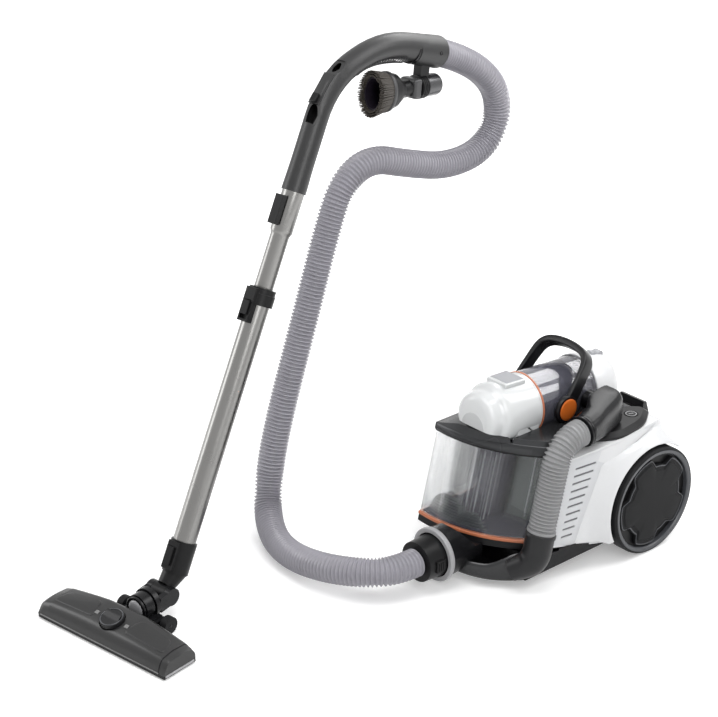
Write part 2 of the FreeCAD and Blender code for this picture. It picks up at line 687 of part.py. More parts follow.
def build_bin():
    shell = bin_block(0, BIN_Z0, BIN_Z1).cut(bin_block(-WALL, BIN_Z0 - 1, BIN_Z1 + 1))
    add("bin_shell", shell.cut(cyc(along_y(RING_S1, TUBE_S1, CYC_R + 1.0))))
    z_floor = BIN_Z0 - 0.2 - GASKET_H
    gasket = bin_block(1.6, z_floor, BIN_Z0 - 0.2).cut(bin_block(-6, z_floor - 1, BIN_Z0 + 1))
    add("bin_gasket", gasket)
    tray = bin_block(0.6, z_floor - FLOOR_H, z_floor - 0.2)
    add("bin_floor", tray.cut(bin_block(-4, z_floor - FLOOR_H + 3, z_floor + 2)))
    lid = bin_block(2.2, BIN_Z1 + 0.2, LID_HIGH_Z + 20, 1.5).cut(lid_top_cut())
    opening = box(-CYC_R + 3, CYC_R - 3, -200, 60, BIN_Z1 - 5, LID_HIGH_Z + 30).common(
        bin_block(-14, BIN_Z1 - 5, LID_HIGH_Z + 30, 30))
    bosses = rod(V(-HANDLE_X - 20, PIVOT_Y, 0), X_AXIS, BOSS_R + MOVE_GAP, 2 * HANDLE_X + 40)
    add("bin_lid", without(lid, opening, cyc(cap_block(1.0)), cyc(bosses)))


def cap_block(grow):
    """The cyclone cap's closed outer shape, with its skirt, as drawn along y."""
    neck_end = CAP_S0 + 14
    cone_end = CAP_S0 + 34
    skirt = side([(-74 - grow, -34 - grow), (-66 - grow, 10), (CAP_S1, 10), (CAP_S1, -34 - grow)],
                 -43 - grow, 43 + grow)
    block = union([
        along_y(CAP_S0 - grow, neck_end, CAP_NECK_R + grow),
        along_y(neck_end, cone_end, CAP_NECK_R + grow, CYC_R + grow),
        along_y(cone_end, CAP_S1, CYC_R + grow),
        skirt,
    ])
    return block.cut(chin(-grow))


def chin(lift):
    """The space that the lid's front wall takes below the cap's nose."""
    low = LID_HIGH_Z + GAP - CYC_Z + lift
    return side([(CHIN_Y, low - 5), (CAP_S0 - 20, low + 0.3 * (CHIN_Y - CAP_S0) + 1), (CAP_S0 - 20, -80),
                 (CHIN_Y, -80)], -60, 60)


def build_bin_inside():
    floor_top = BIN_Z0 - 0.2 - GASKET_H - FLOOR_H + 3.3
    foot = V(-24, -52 + lean_y(floor_top), floor_top)
    axis = V(0, LEAN, 1).normalize()
    height = (BIN_Z1 - 16 - floor_top) / axis.z
    shroud = rod(foot, axis, SHROUD_R, height).cut(rod(foot - axis * 3, axis, SHROUD_R - 3, height + 20))
    ledge = rod(foot + axis * (height - 6), axis, SHROUD_R + 6, 6)
    shroud = union([shroud, ledge.cut(rod(foot - axis * 3, axis, SHROUD_R - 4, height + 20))])
    shroud = shroud.common(box(-BIN_HALF, BIN_HALF, -200, 200, floor_top, BIN_Z1 - 0.5))
    add("bin_shroud", shroud)
    slats = []
    for i in range(SLAT_COUNT):
        z = BIN_Z0 + 1 + 5 * i
        band = bin_block(-9, z, z + 2).cut(bin_block(-15, z - 1, z + 4))
        slats.append(band.common(box(-80, 10, -160, -60, 0, 300)))
    post = bin_block(-10, floor_top, BIN_Z0 + 5 * SLAT_COUNT).cut(
        bin_block(-14, floor_top - 1, BIN_Z0 + 5 * SLAT_COUNT + 4))
    posts = [post.common(box(x, x + 4, -160, -60, 0, 300)) for x in (-70, -45, -20, 5)]
    add("bin_mesh", union(slats + posts))


def cyc(shape):
    """Place a shape drawn with the cyclone's axis on y, its height at CYC_Z."""
    shape.rotate(ORIGIN, X_AXIS, CYC_TILT)
    shape.translate(V(0, 0, CYC_Z))
    return shape


def along_y(s0, s1, r0, r1=None):
    if r1 is None or r1 == r0:
        return rod(V(0, s0, 0), Y_AXIS, r0, s1 - s0)
    return cone(V(0, s0, 0), Y_AXIS, r0, r1, s1 - s0)


def build_cyclone():
    bore = CYC_R - WALL
    cap_inner = union([
        along_y(CAP_S0 + 3, CAP_S0 + 15, CAP_NECK_R - 3),
        along_y(CAP_S0 + 15, CAP_S0 + 36, CAP_NECK_R - 3, bore),
        along_y(CAP_S0 + 35, CAP_S1 + 5, bore),
        side([(-70, -50), (-60, 6), (CAP_S1 - 3, 6), (CAP_S1 - 3, -50)], -40, 40),
    ])
    cap_inner = cap_inner.cut(chin(3))
    cap = cap_block(0).cut(cap_inner)
    hatch_seat = box(-23, 23, -66, -15, 30, CYC_R + 2).cut(cap_inner)
    cap = union([cap, hatch_seat])
    add("cyclone_cap", cyc(cap))
    hatch = box(-22, 22, -65, -16, CYC_R + 2.3, CYC_R + 7)
    hatch = rounded(hatch, 1.5, lambda e: e.BoundBox.ZMin > CYC_R + 6)
    add("cap_hatch", cyc(hatch))
    ring = along_y(CAP_S1 + 0.1, RING_S1 - 0.1, CYC_R + 1.2)
    add("cyclone_ring", cyc(ring.cut(along_y(CAP_S1 - 1, RING_S1 + 1, bore))))
    tube = along_y(RING_S1, TUBE_S1, CYC_R).cut(along_y(RING_S1 - 1, TUBE_S1 + 1, bore))
    pins = [rod(V(s * (CYC_R - 2), PIVOT_Y, 0), X_AXIS * s, PIVOT_R, HANDLE_X + LEG_T - CYC_R) for s in (-1, 1)]
    tube = union([tube] + pins).cut(along_y(RING_S1 - 1, TUBE_S1 + 1, bore))
    add("cyclone_body", cyc(tube))
    core = [along_y(RING_S1 + 4, 36, 30, 20), along_y(36, TUBE_S1 - 27, 20, 34),
            along_y(TUBE_S1 - 30, TUBE_S1 - 27, bore - 0.3), along_y(TUBE_S1 - 6, TUBE_S1 - 3, bore - 0.3)]
    cones = [rod(V(26 * math.cos(a), 44, 26 * math.sin(a)), Y_AXIS, 9, TUBE_S1 - 50)
             for a in [math.radians(30 + 60 * i) for i in range(6)]]
    add("cyclone_core", cyc(union(core + cones).cut(along_y(RING_S1 + 7, TUBE_S1, 12))))
    dome = union([
        along_y(TUBE_S1 + 0.1, TUBE_S1 + 9, CYC_R + 1.5),
        along_y(TUBE_S1 + 9, DOME_S1 - 16, CYC_R - 1, CYC_R - 5),
        along_y(DOME_S1 - 16, DOME_S1, CYC_R - 5, CYC_R - 22),
    ])
    dome = dome.cut(along_y(TUBE_S1 - 1, DOME_S1 - 18, CYC_R - 8))
    clip = box(-9, 9, TUBE_S1 + 28, DOME_S1 - 12, CYC_R - 8, CYC_R)
    add("cyclone_dome", cyc(union([dome, clip])))


def arch_wire(leg_x, knee, corner, shoulder, crown, depth_at):
    """One outline of the arch in its own plane, from the left foot over the crown to the right."""
    def at(point, sign):
        return V(sign * point[0], depth_at, point[1])
    foot = (leg_x, 0.0)
    top = V(0, depth_at, crown)
    return [
        Part.LineSegment(at(foot, 1), at(knee, 1)).toShape(),
        Part.Arc(at(knee, 1), at(corner, 1), at(shoulder, 1)).toShape(),
        Part.Arc(at(shoulder, 1), top, at(shoulder, -1)).toShape(),
        Part.Arc(at(shoulder, -1), at(corner, -1), at(knee, -1)).toShape(),
        Part.LineSegment(at(knee, -1), at(foot, -1)).toShape(),
    ]


def build_carry_handle():
    """Arch drawn upright about its pivot, then laid back and moved to the cyclone's flanks."""
    out_x = HANDLE_X + LEG_T
    low = -HANDLE_DEPTH / 2
    inner_crown = HANDLE_H - HANDLE_BAR
    outer = arch_wire(out_x, (out_x - 5.5, HANDLE_H - 31), (out_x - 9.5, HANDLE_H - 13),
                      (out_x - 23, HANDLE_H - 5), HANDLE_H, low)
    inner = arch_wire(HANDLE_X, (HANDLE_X - 6, inner_crown - 22), (HANDLE_X - 9.5, inner_crown - 10),
                      (HANDLE_X - 20, inner_crown - 3.5), inner_crown, low)
    feet = [Part.LineSegment(V(s * HANDLE_X, low, 0), V(s * out_x, low, 0)).toShape() for s in (-1, 1)]
    outline = Part.Wire(Part.__sortEdges__(outer + inner + feet))
    arch = Part.Face(outline).extrude(V(0, HANDLE_DEPTH, 0))
    bosses = [rod(V(s * HANDLE_X, 0, 0), X_AXIS * s, BOSS_R, LEG_T) for s in (-1, 1)]
    arch = union([arch] + bosses)
    pin_bore = rod(V(-100, 0, 0), X_AXIS, PIVOT_R + PIVOT_FIT, 200)
    caps = [rod(V(s * (out_x + 0.2), 0, 0), X_AXIS * s, CAP_R, CAP_T) for s in (-1, 1)]
    for name, shape in (("carry_handle", arch.cut(pin_bore)), ("handle_caps", Part.Compound(caps))):
        shape.rotate(ORIGIN, X_AXIS, -HANDLE_REST)
        shape.translate(V(0, PIVOT_Y, 0))
        add(name, cyc(shape))


# ================================================================ running gear and insides
def lobed_disc(x0, x1, radius, notch_depth):
    """A disc with COVER_LOBES shallow notches in its rim, drawn across X at the wheel's axis."""
    disc = rod(V(x0, 0, 0), X_AXIS, radius, x1 - x0)
    for i in range(COVER_LOBES):
        a = math.radians(90 + 360.0 / COVER_LOBES * i)
        reach = radius + 2
        half = 17.0
        low = radius - notch_depth
        pts = [(reach, -half - 9), (low, -half + 3), (low + 2.5, 0), (low, half - 3), (reach, half + 9)]
        tool = prism([(x0 - 1, u * math.cos(a) - w * math.sin(a), u * math.sin(a) + w * math.cos(a))
                      for u, w in pts], V(x1 - x0 + 2, 0, 0))
        disc = disc.cut(tool)
    return disc


def build_wheels():
    inner_x = WHEEL_FACE_X - WHEEL_W
    rim = rod(V(inner_x, 0, 0), X_AXIS, WHEEL_R, WHEEL_W)
    rim = rounded(rim, 4.0, lambda e: e.BoundBox.XLength < 0.01)
    dish = rod(V(WHEEL_FACE_X - 9, 0, 0), X_AXIS, RIM_R, 20)
    back = pipe(V(inner_x - 1, 0, 0), X_AXIS, RIM_R, 16, WHEEL_W - 13)
    hub_bore = rod(V(0, 0, 0), X_AXIS, AXLE_R + RUN_FIT, 200)
    wheel = without(rim, dish, back, hub_bore)
    cover = lobed_disc(WHEEL_FACE_X - 7.0, WHEEL_FACE_X - 7.0 + COVER_T, RIM_R - 2, 9)
    seat = pipe(V(WHEEL_FACE_X - 8.6, 0, 0), X_AXIS, 20, 12, 2)
    cover = union([cover, seat])
    for name, shape in (("rear_wheel", wheel), ("wheel_cover", cover)):
        shape.translate(V(0, WHEEL_Y, WHEEL_R))
        add(name + "_left", shape)
        add(name + "_right", flip(shape))


def build_caster():
    top = BASE_Z + 28
    stem = rod(V(0, CASTER_Y, top - 4), Z_AXIS, CASTER_PIN_R, 12)
    plate = rod(V(0, CASTER_Y, top - 5), Z_AXIS, 19, 4.5)
    wheel_y = CASTER_Y + CASTER_TRAIL
    arms = [box(s * 10 - 1.5, s * 10 + 1.5, wheel_y - 6, wheel_y + 6, CASTER_R - 5, top - 3) for s in (-1, 1)]
    pin = rod(V(-11, wheel_y, CASTER_R), X_AXIS, 2.5, 22)
    trimmed = [a.common(rod(V(0, CASTER_Y, 0), Z_AXIS, 27, 60)) for a in arms]
    add("caster_fork", union([stem, plate, pin] + trimmed))
    wheel = pipe(V(-CASTER_W / 2, wheel_y, CASTER_R), X_AXIS, CASTER_R, 2.5 + RUN_FIT, CASTER_W)
    add("caster_wheel", wheel)


def build_motor():
    z0 = MOTOR_Z0
    z1 = MOTOR_Z1
    at = V(MOTOR_X, MOTOR_Y, 0)
    can = rod(at + V(0, 0, z0), Z_AXIS, MOTOR_R, z1 - z0)
    can = can.cut(rod(at + V(0, 0, z0 + 3), Z_AXIS, MOTOR_R - 3, z1 - z0 - 6))
    eye = rod(at + V(0, 0, z1 - 5), Z_AXIS, 16, 10)
    bearing = rod(at + V(0, 0, z0 - 1), Z_AXIS, SHAFT_R + RUN_FIT, 5)
    feet = [box(MOTOR_X - 30, MOTOR_X - 20, MOTOR_Y - 8, MOTOR_Y + 8, BASE_Z + 3.2, z0),
            box(MOTOR_X + 20, MOTOR_X + 30, MOTOR_Y - 8, MOTOR_Y + 8, BASE_Z + 3.2, z0)]
    stator = pipe(at + V(0, 0, z0 + 3), Z_AXIS, MOTOR_R - 3, 26, 50)
    add("motor_housing", without(union([can, stator] + feet), eye, bearing))
    shaft = rod(at + V(0, 0, z0 + 0.2), Z_AXIS, SHAFT_R, z1 - z0 - 12)
    armature = rod(at + V(0, 0, z0 + 8), Z_AXIS, 24, 44)
    fan = rod(at + V(0, 0, z0 + 62), Z_AXIS, MOTOR_R - 6, 4)
    blades = [box(8, MOTOR_R - 7, -1, 1, z0 + 66, z0 + 80) for _ in range(7)]
    turned = []
    for i, blade in enumerate(blades):
        blade.rotate(ORIGIN, Z_AXIS, 360.0 / 7 * i)
        blade.translate(at)
        turned.append(blade)
    add("motor_rotor", union([shaft, armature, fan] + turned))
    add("motor_filter", box(-10, 82, 45, 58, BASE_Z + 3.2, 120))
    add("exhaust_filter", box(-42, REAR_DOOR_HALF, 175.4, 187.6, REAR_DOOR_Z0 + 16, 150))
    drum = rod(V(REEL_X, REEL_Y, REEL_Z), X_AXIS, 34, REEL_W)
    flanges = [rod(V(x, REEL_Y, REEL_Z), X_AXIS, REEL_R, 3) for x in (REEL_X, REEL_X + REEL_W - 3)]
    wound = rod(V(REEL_X + 4, REEL_Y, REEL_Z), X_AXIS, REEL_R - 9, REEL_W - 8)
    hub = rod(V(REEL_X - 5, REEL_Y, REEL_Z), X_AXIS, AXLE_R + RUN_FIT, REEL_W + 10)
    add("cord_reel", union([drum, wound] + flanges).cut(hub))


def build_cord_outlet():
    gland = pipe(V(OUTLET_X, REAR_Y - 8, OUTLET_Z), Y_AXIS, OUTLET_R, 5, 9.5)
    rim = pipe(V(OUTLET_X, REAR_Y + 0.3, OUTLET_Z), Y_AXIS, OUTLET_R + 3, 5, 3)
    add("cord_outlet", union([gland, rim]))


# ================================================================ wand, handle and floor head
def to_machine(shape):
    """Move a shape from the head frame to the canister frame."""
    shape.rotate(ORIGIN, Z_AXIS, HEAD_YAW)
    shape.translate(HEAD_ORIGIN)
    return shape


def wand_axis():
    return V(0, WAND_TOP[0] - WAND_FOOT[0], WAND_TOP[1] - WAND_FOOT[1]).normalize()


def on_wand(s, front=0.0, sideways=0.0):
    """A point s along the wand from its foot, moved to the front side of the tube by front."""
    axis = wand_axis()
    forward = V(0, -axis.z, axis.y)
    return V(sideways, WAND_FOOT[0], WAND_FOOT[1]) + axis * s + forward * front


def wand_pipe(s0, s1, outer, inner):
    return pipe(on_wand(s0), wand_axis(), outer, inner, s1 - s0)


def wand_rod(s0, s1, radius):
    return rod(on_wand(s0), wand_axis(), radius, s1 - s0)


def wand_block(s0, s1, half_width, front0, front1):
    """A block on the front of the wand, from s0 to s1 and from front0 to front1 off the axis."""
    pts = [on_wand(s0, front0), on_wand(s1, front0), on_wand(s1, front1), on_wand(s0, front1)]
    return prism([(-half_width, p.y, p.z) for p in pts], V(2 * half_width, 0, 0))


WAND_LENGTH = math.hypot(WAND_TOP[0] - WAND_FOOT[0], WAND_TOP[1] - WAND_FOOT[1])


def build_wand():
    outer_bore = OUTER_TUBE_R - TUBE_WALL
    lower = wand_pipe(-PLUG_L, OUTER_TUBE_L, OUTER_TUBE_R, outer_bore)
    add("wand_lower_tube", to_machine(lower))
    bush = wand_pipe(OUTER_TUBE_L - 26, OUTER_TUBE_L + 0.3, outer_bore - 0.05, INNER_TUBE_R + RUN_FIT)
    sleeve = wand_pipe(OUTER_TUBE_L - COLLAR_L + 8, OUTER_TUBE_L + 0.3, COLLAR_R, OUTER_TUBE_R + 0.05)
    lip = wand_pipe(OUTER_TUBE_L + 0.3, OUTER_TUBE_L + 8, COLLAR_R - 1, INNER_TUBE_R + RUN_FIT)
    slider_low = OUTER_TUBE_L - RELEASE_AT
    slider_high = slider_low + RELEASE_L
    pad = wand_block(slider_low - RELEASE_TRAVEL - 4, OUTER_TUBE_L + 6, 9, 0, COLLAR_R + 5)
    pad = pad.cut(wand_rod(OUTER_TUBE_L - 60, OUTER_TUBE_L + 20, OUTER_TUBE_R + 0.05))
    slot = wand_block(slider_low - RELEASE_TRAVEL - GAP, slider_high + GAP, 6 + GAP, COLLAR_R - 0.5,
                      COLLAR_R + 20)
    add("telescope_collar", to_machine(union([bush, sleeve, lip, pad]).cut(slot)))
    slider = wand_block(slider_low, slider_high, 6, COLLAR_R, COLLAR_R + 8)
    add("telescope_slider", to_machine(slider))
    inner = wand_pipe(INNER_TUBE_START, SWAGE_AT, INNER_TUBE_R, INNER_TUBE_R - TUBE_WALL)
    swage = cone(on_wand(SWAGE_AT), wand_axis(), INNER_TUBE_R, SOCKET_R, 6)
    swage = swage.cut(wand_rod(SWAGE_AT - 1, SWAGE_AT + 8, INNER_TUBE_R - TUBE_WALL))
    socket = wand_pipe(SWAGE_AT + 6, WAND_LENGTH + PLUG_L, SOCKET_R, INNER_TUBE_R - TUBE_WALL)
    centre = SWAGE_AT + 33
    press = on_wand(0, 1) - on_wand(0)
    stem = rod(on_wand(centre, SOCKET_R - 5), press, STEM_R - 1, 8)
    stem_room = rod(on_wand(centre, SOCKET_R - 8), press, STEM_R - 1 + RUN_FIT, 12)
    add("wand_upper_tube", to_machine(union([inner, swage, socket]).cut(stem_room)))
    button = wand_block(centre - 21, centre + 21, 7, SOCKET_R + 0.4 + BUTTON_PRESS, SOCKET_R + 11)
    add("wand_button", to_machine(union([button, stem])))


GRIP_STATIONS = [
    (0.00, GRIP_R + 1.0), (0.10, GRIP_R), (0.35, GRIP_R), (0.50, GRIP_R + 0.4), (0.62, GRIP_R + 1.2),
    (0.76, GRIP_R + 2.6), (0.88, GRIP_END_R - 1.6), (1.00, GRIP_END_R),
]
GRIP_STEPS = 24


def grip_path():
    start = (0, WAND_TOP[0] + 0.4 * wand_axis().y, WAND_TOP[1] + 0.4 * wand_axis().z)
    points = [start, (0,) + GRIP_KNEE, (0,) + GRIP_CREST, (0,) + GRIP_END]
    return Part.Wire(cord_edges(points)[0])


def grip_station(path, share):
    """Point and direction at a share of the grip's path."""
    target = share * path.Length
    for edge in path.OrderedEdges:
        if target <= edge.Length + 1e-6:
            parameter = edge.getParameterByLength(max(0.0, min(target, edge.Length)))
            return edge.valueAt(parameter), edge.tangentAt(parameter)
        target -= edge.Length
    return edge.valueAt(edge.LastParameter), edge.tangentAt(edge.LastParameter)


def grip_radius(share):
    """The grip's radius at a share of its path, straight between the stations."""
    for (s0, r0), (s1, r1) in zip(GRIP_STATIONS, GRIP_STATIONS[1:]):
        if share <= s1:
            return r0 + (r1 - r0) * (share - s0) / (s1 - s0)
    return GRIP_STATIONS[-1][1]


def grip_skin(path, inset):
    wires = []
    for step in range(GRIP_STEPS + 1):
        share = step / GRIP_STEPS
        radius = grip_radius(share)
        point, tangent = grip_station(path, share)
        circle = Part.Circle(point, tangent, radius - inset)
        circle.XAxis = X_AXIS
        wires.append(Part.Wire(circle.toShape()))
    return Part.makeLoft(wires, True, True)


def grip_block(path, share0, share1, half_width, out0, out1):
    """A block on the outer side of the bend, between two shares of the path."""
    corners = []
    for share, out in ((share0, out0), (share1, out0), (share1, out1), (share0, out1)):
        point, tangent = grip_station(path, share)
        outward = V(0, -tangent.z, tangent.y)
        corners.append(point + outward * out)
    return prism([(-half_width, p.y, p.z) for p in corners], V(2 * half_width, 0, 0))


def slot_block(path, along0, along1, half_width, up0, up1):
    """A block in the straight slot of the suction slider, measured in mm along and above its floor."""
    low, tangent = grip_station(path, SLOT_SHARE[0])
    high, top_tangent = grip_station(path, SLOT_SHARE[1])
    low = low + V(0, -tangent.z, tangent.y) * SLOT_FLOOR
    high = high + V(0, -top_tangent.z, top_tangent.y) * SLOT_FLOOR
    along = (high - low).normalize()
    up = V(0, -along.z, along.y)
    length = (high - low).Length
    ends = (along0, length if along1 is None else along1)
    corners = [low + along * ends[0] + up * up0, low + along * ends[1] + up * up0,
               low + along * ends[1] + up * up1, low + along * ends[0] + up * up1]
    return prism([(-half_width, p.y, p.z) for p in corners], V(2 * half_width, 0, 0))


SLOT_SHARE = (0.30, 0.41)
SLOT_FLOOR = GRIP_R + 1.5
SLIDER_L = 13.0


def build_handle():
    path = grip_path()
    skin = grip_skin(path, 0)
    bore = grip_skin(path, 3)
    plug_room = wand_rod(WAND_LENGTH - 5, WAND_LENGTH + PLUG_L + 1, SOCKET_R + 0.05)
    saddle = grip_block(path, 0.27, 0.44, 9, GRIP_R - 8, GRIP_R + 4.5)
    slot = slot_block(path, 0, None, 5 + GAP, 0, 12)
    throat = wand_rod(WAND_LENGTH + 0.4, WAND_LENGTH + 34, GRIP_R - 0.2)
    handle = union([without(union([skin, saddle]), bore, slot), throat]).cut(plug_room)
    add("handle_grip", to_machine(handle))
    add("suction_slider", to_machine(slot_block(path, 1.5, 1.5 + SLIDER_L, 5, 0.3, 5.2)))


TOOL_Y1 = 722.0       # free end of the accessory tool
TOOL_Z1 = 623.0
TOOL_PITCH = 7.5      # degrees, the brush end is higher
TOOL_R = 16.0
TOOL_SOCKET_L = 36.0


def tool_shape(shape):
    """Move a shape drawn along -y from its free end to its place under the handle."""
    shape.rotate(ORIGIN, X_AXIS, -TOOL_PITCH)
    shape.translate(V(0, TOOL_Y1, TOOL_Z1))
    return to_machine(shape)


def ellipse_ring(y, half_x, half_z):
    if half_x > half_z:
        curve = Part.Ellipse(V(half_x, y, 0), V(0, y, half_z), V(0, y, 0))
    else:
        curve = Part.Ellipse(V(0, y, half_z), V(half_x, y, 0), V(0, y, 0))
    return Part.Wire(curve.toShape())


def build_brush_tool():
    socket = rod(V(0, -TOOL_SOCKET_L, 0), Y_AXIS, TOOL_R, TOOL_SOCKET_L)
    neck = rod(V(0, -90, 0), Y_AXIS, TOOL_R - 3, 90 - TOOL_SOCKET_L + 0.5)
    rings = [ellipse_ring(-84, 15, 15), ellipse_ring(-98, 19, 25), ellipse_ring(-118, 21, 29)]
    head = Part.makeLoft(rings, True, True)
    bore = rod(V(0, -130, 0), Y_AXIS, TOOL_R - 6, 130)
    mouth = rod(V(0, -TOOL_SOCKET_L + 8, 0), Y_AXIS, TOOL_R - 2.2, 40)
    stem_top = 38.0
    clip = box(-7, 7, -TOOL_SOCKET_L - 8, -TOOL_SOCKET_L + 12, TOOL_R - 5, stem_top)
    tool = without(union([socket, neck, head, clip]), bore, mouth)
    tool.rotate(ORIGIN, X_AXIS, -TOOL_PITCH)
    tool.translate(V(0, TOOL_Y1, TOOL_Z1))
    above = side([GRIP_CREST, GRIP_END, (GRIP_END[0] + 50, GRIP_END[1]), (GRIP_END[0], 900), (500, 900)], -60, 60)
    add("brush_tool", to_machine(without(tool, grip_skin(grip_path(), -0.35), above)))
    outer = Part.makeLoft([ellipse_ring(-150, 24, 34), ellipse_ring(-118.2, 20, 28)], True, True)
    inner = Part.makeLoft([ellipse_ring(-151, 16, 24), ellipse_ring(-117, 13, 19)], True, True)
    add("brush_bristles", tool_shape(outer.cut(inner)))


def build_neck():
    axis = wand_axis()
    socket = wand_pipe(-46, 0.0, OUTER_TUBE_R + 2.6, OUTER_TUBE_R + 0.05)
    low = V(0, KNUCKLE[0] + 8, KNUCKLE[1] + 7)
    high = on_wand(-44)
    shank_axis = (high - low).normalize()
    shank_len = (high - low).Length + 4
    shank = cone(low, shank_axis, 12.5, OUTER_TUBE_R + 1.6, shank_len)
    knuckle = rod(V(-KNUCKLE_HALF, KNUCKLE[0], KNUCKLE[1]), X_AXIS, KNUCKLE_R, 2 * KNUCKLE_HALF)
    shank = shank.common(box(-30, 30, KNUCKLE[0] - 3, 400, -50, 400))
    ridge_pts = [on_wand(-4, -OUTER_TUBE_R - 1), on_wand(-50, -OUTER_TUBE_R - 1), on_wand(-44, -OUTER_TUBE_R - 6),
                 on_wand(-8, -OUTER_TUBE_R - 6)]
    ridge = prism([(-4, p.y, p.z) for p in ridge_pts], V(8, 0, 0))
    pad = wand_block(-42, -2, 9, 5, OUTER_TUBE_R + 6).cut(wand_rod(-46, 2, OUTER_TUBE_R + 0.05))
    well = wand_block(-36 - GAP, -10 + GAP, 6 + GAP, OUTER_TUBE_R + 3.6, OUTER_TUBE_R + 20)
    neck = union([socket, shank, knuckle, ridge, pad])
    plug = rod(on_wand(-PLUG_L - 0.4), axis, OUTER_TUBE_R + 0.05, 60)
    air = rod(low + shank_axis * 8, shank_axis, 10, shank_len)
    pin_bore = rod(V(-60, KNUCKLE[0], KNUCKLE[1]), X_AXIS, 4 + RUN_FIT, 120)
    ear_room = [rod(V(s * KNUCKLE_HALF, KNUCKLE[0], KNUCKLE[1]), X_AXIS * s, KNUCKLE_R + 1, 30) for s in (-1, 1)]
    add("neck_tube", to_machine(without(neck, plug, air, well, pin_bore, *ear_room)))
    add("neck_button", to_machine(wand_block(-36, -10, 6, OUTER_TUBE_R + 3.8 + BUTTON_PRESS, OUTER_TUBE_R + 9.5)))
    swivel = rod(V(0, YOKE_RING_Y - 4, SWIVEL_Z), Y_AXIS, SWIVEL_R, 34)
    flange = rod(V(0, YOKE_RING_Y - 4, SWIVEL_Z), Y_AXIS, SWIVEL_R + 2.5, 3.6)
    ears = []
    for s in (-1, 1):
        x0 = s * (KNUCKLE_HALF + GAP)
        ears.append(rod(V(x0, KNUCKLE[0], KNUCKLE[1]), X_AXIS * s, KNUCKLE_R, EAR_T))
        x_low = min(x0, x0 + s * EAR_T)
        arm = side([(98, SWIVEL_Z - 11), (98, SWIVEL_Z + 11), (KNUCKLE[0], KNUCKLE[1] + 11),
                    (KNUCKLE[0], KNUCKLE[1] - 11)], x_low, x_low + EAR_T)
        ears.append(arm)
    pin = rod(V(-KNUCKLE_HALF - EAR_T, KNUCKLE[0], KNUCKLE[1]), X_AXIS, 4, 2 * (KNUCKLE_HALF + EAR_T))
    rest = rod(V(0, YOKE_RING_Y + 16.5, SWIVEL_Z), Y_AXIS, SWIVEL_R + 7, 8)
    relief = rod(V(-KNUCKLE_HALF - GAP, KNUCKLE[0], KNUCKLE[1]), X_AXIS, KNUCKLE_R + 1, 2 * (KNUCKLE_HALF + GAP))
    elbow = without(union([swivel, rest] + ears), relief)
    elbow = without(union([elbow, pin, flange]), rod(V(0, 0, SWIVEL_Z), Y_AXIS, 10, 106))
    add("neck_elbow", to_machine(elbow))


def build_yoke():
    ring = pipe(V(0, YOKE_RING_Y, SWIVEL_Z), Y_AXIS, YOKE_RING_R, SWIVEL_R + RUN_FIT, YOKE_RING_L)
    axle_y = HEAD_WHEEL_Y
    block = box(-28.4, 28.4, YOKE_AXIS[0] + 4, axle_y + 3, SOLE_Z0 + 4, YOKE_AXIS[1] + 7)
    block = block.cut(rod(V(0, YOKE_RING_Y + 15.2, SWIVEL_Z), Y_AXIS, SWIVEL_R + 7.6, 60))
    knuckle = rod(V(-28, YOKE_AXIS[0], YOKE_AXIS[1]), X_AXIS, 6.0, 56)
    axles = [rod(V(s * 29, axle_y, HEAD_WHEEL_R), X_AXIS * s, 2.5, HEAD_WHEEL_X + HEAD_WHEEL_W - 29)
             for s in (-1, 1)]
    side_arms = [box(s * 31 - 3, s * 31 + 3, YOKE_AXIS[0] + 6, axle_y + 5, HEAD_WHEEL_R - 5, HEAD_WHEEL_R + 6)
                 for s in (-1, 1)]
    pin_bore = rod(V(-60, YOKE_AXIS[0], YOKE_AXIS[1]), X_AXIS, 2.5 + RUN_FIT, 120)
    yoke = union([ring, block, knuckle] + axles + side_arms)
    swivel_room = rod(V(0, 0, SWIVEL_Z), Y_AXIS, SWIVEL_R + RUN_FIT, 200)
    flange_room = rod(V(0, YOKE_RING_Y - 30, SWIVEL_Z), Y_AXIS, SWIVEL_R + 3.2, 29.8)
    yoke = without(yoke, pin_bore, swivel_room, flange_room)
    add("nozzle_yoke", to_machine(yoke))
    wheels = [pipe(V(x, axle_y, HEAD_WHEEL_R), X_AXIS, HEAD_WHEEL_R, 2.5 + RUN_FIT, HEAD_WHEEL_W - GAP)
              for x in (-HEAD_WHEEL_X - HEAD_WHEEL_W, HEAD_WHEEL_X + GAP)]
    add("nozzle_wheels", to_machine(Part.Compound(wheels)))


def head_section(x, front_top, mid_top, back_top, back_y, inset=0.0):
    """Profile of the head's cover at x: front foot, front edge, crown, rear edge and rear foot."""
    foot = SOLE_Z0 + SOLE_T + 0.3
    low = foot - (3.0 if inset else 0.0)
    return [(x, 0.5 + inset, low), (x, 6 + inset, front_top - inset), (x, 28, mid_top - inset),
            (x, back_y - 5 - inset, back_top - inset), (x, back_y - inset, low)]


def head_skin(inset):
    ends = HEAD_HALF - inset
    return loft([
        head_section(-ends, 25, 26, 24, HEAD_DEPTH, inset),
        head_section(-100, 27, 32, 31, HEAD_DEPTH + 1, inset),
        head_section(-34, 27, 36, 40, HEAD_DEPTH + 2, inset),
        head_section(34, 27, 36, 40, HEAD_DEPTH + 2, inset),
        head_section(100, 27, 32, 31, HEAD_DEPTH + 1, inset),
        head_section(ends, 25, 26, 24, HEAD_DEPTH, inset),
    ])


def pedal_disc(radius, low, high):
    disc = rod(V(0, 0, low), Z_AXIS, radius, high - low)
    disc.rotate(ORIGIN, X_AXIS, PEDAL_TILT)
    disc.translate(V(0, PEDAL_AT[0], PEDAL_AT[1]))
    return disc


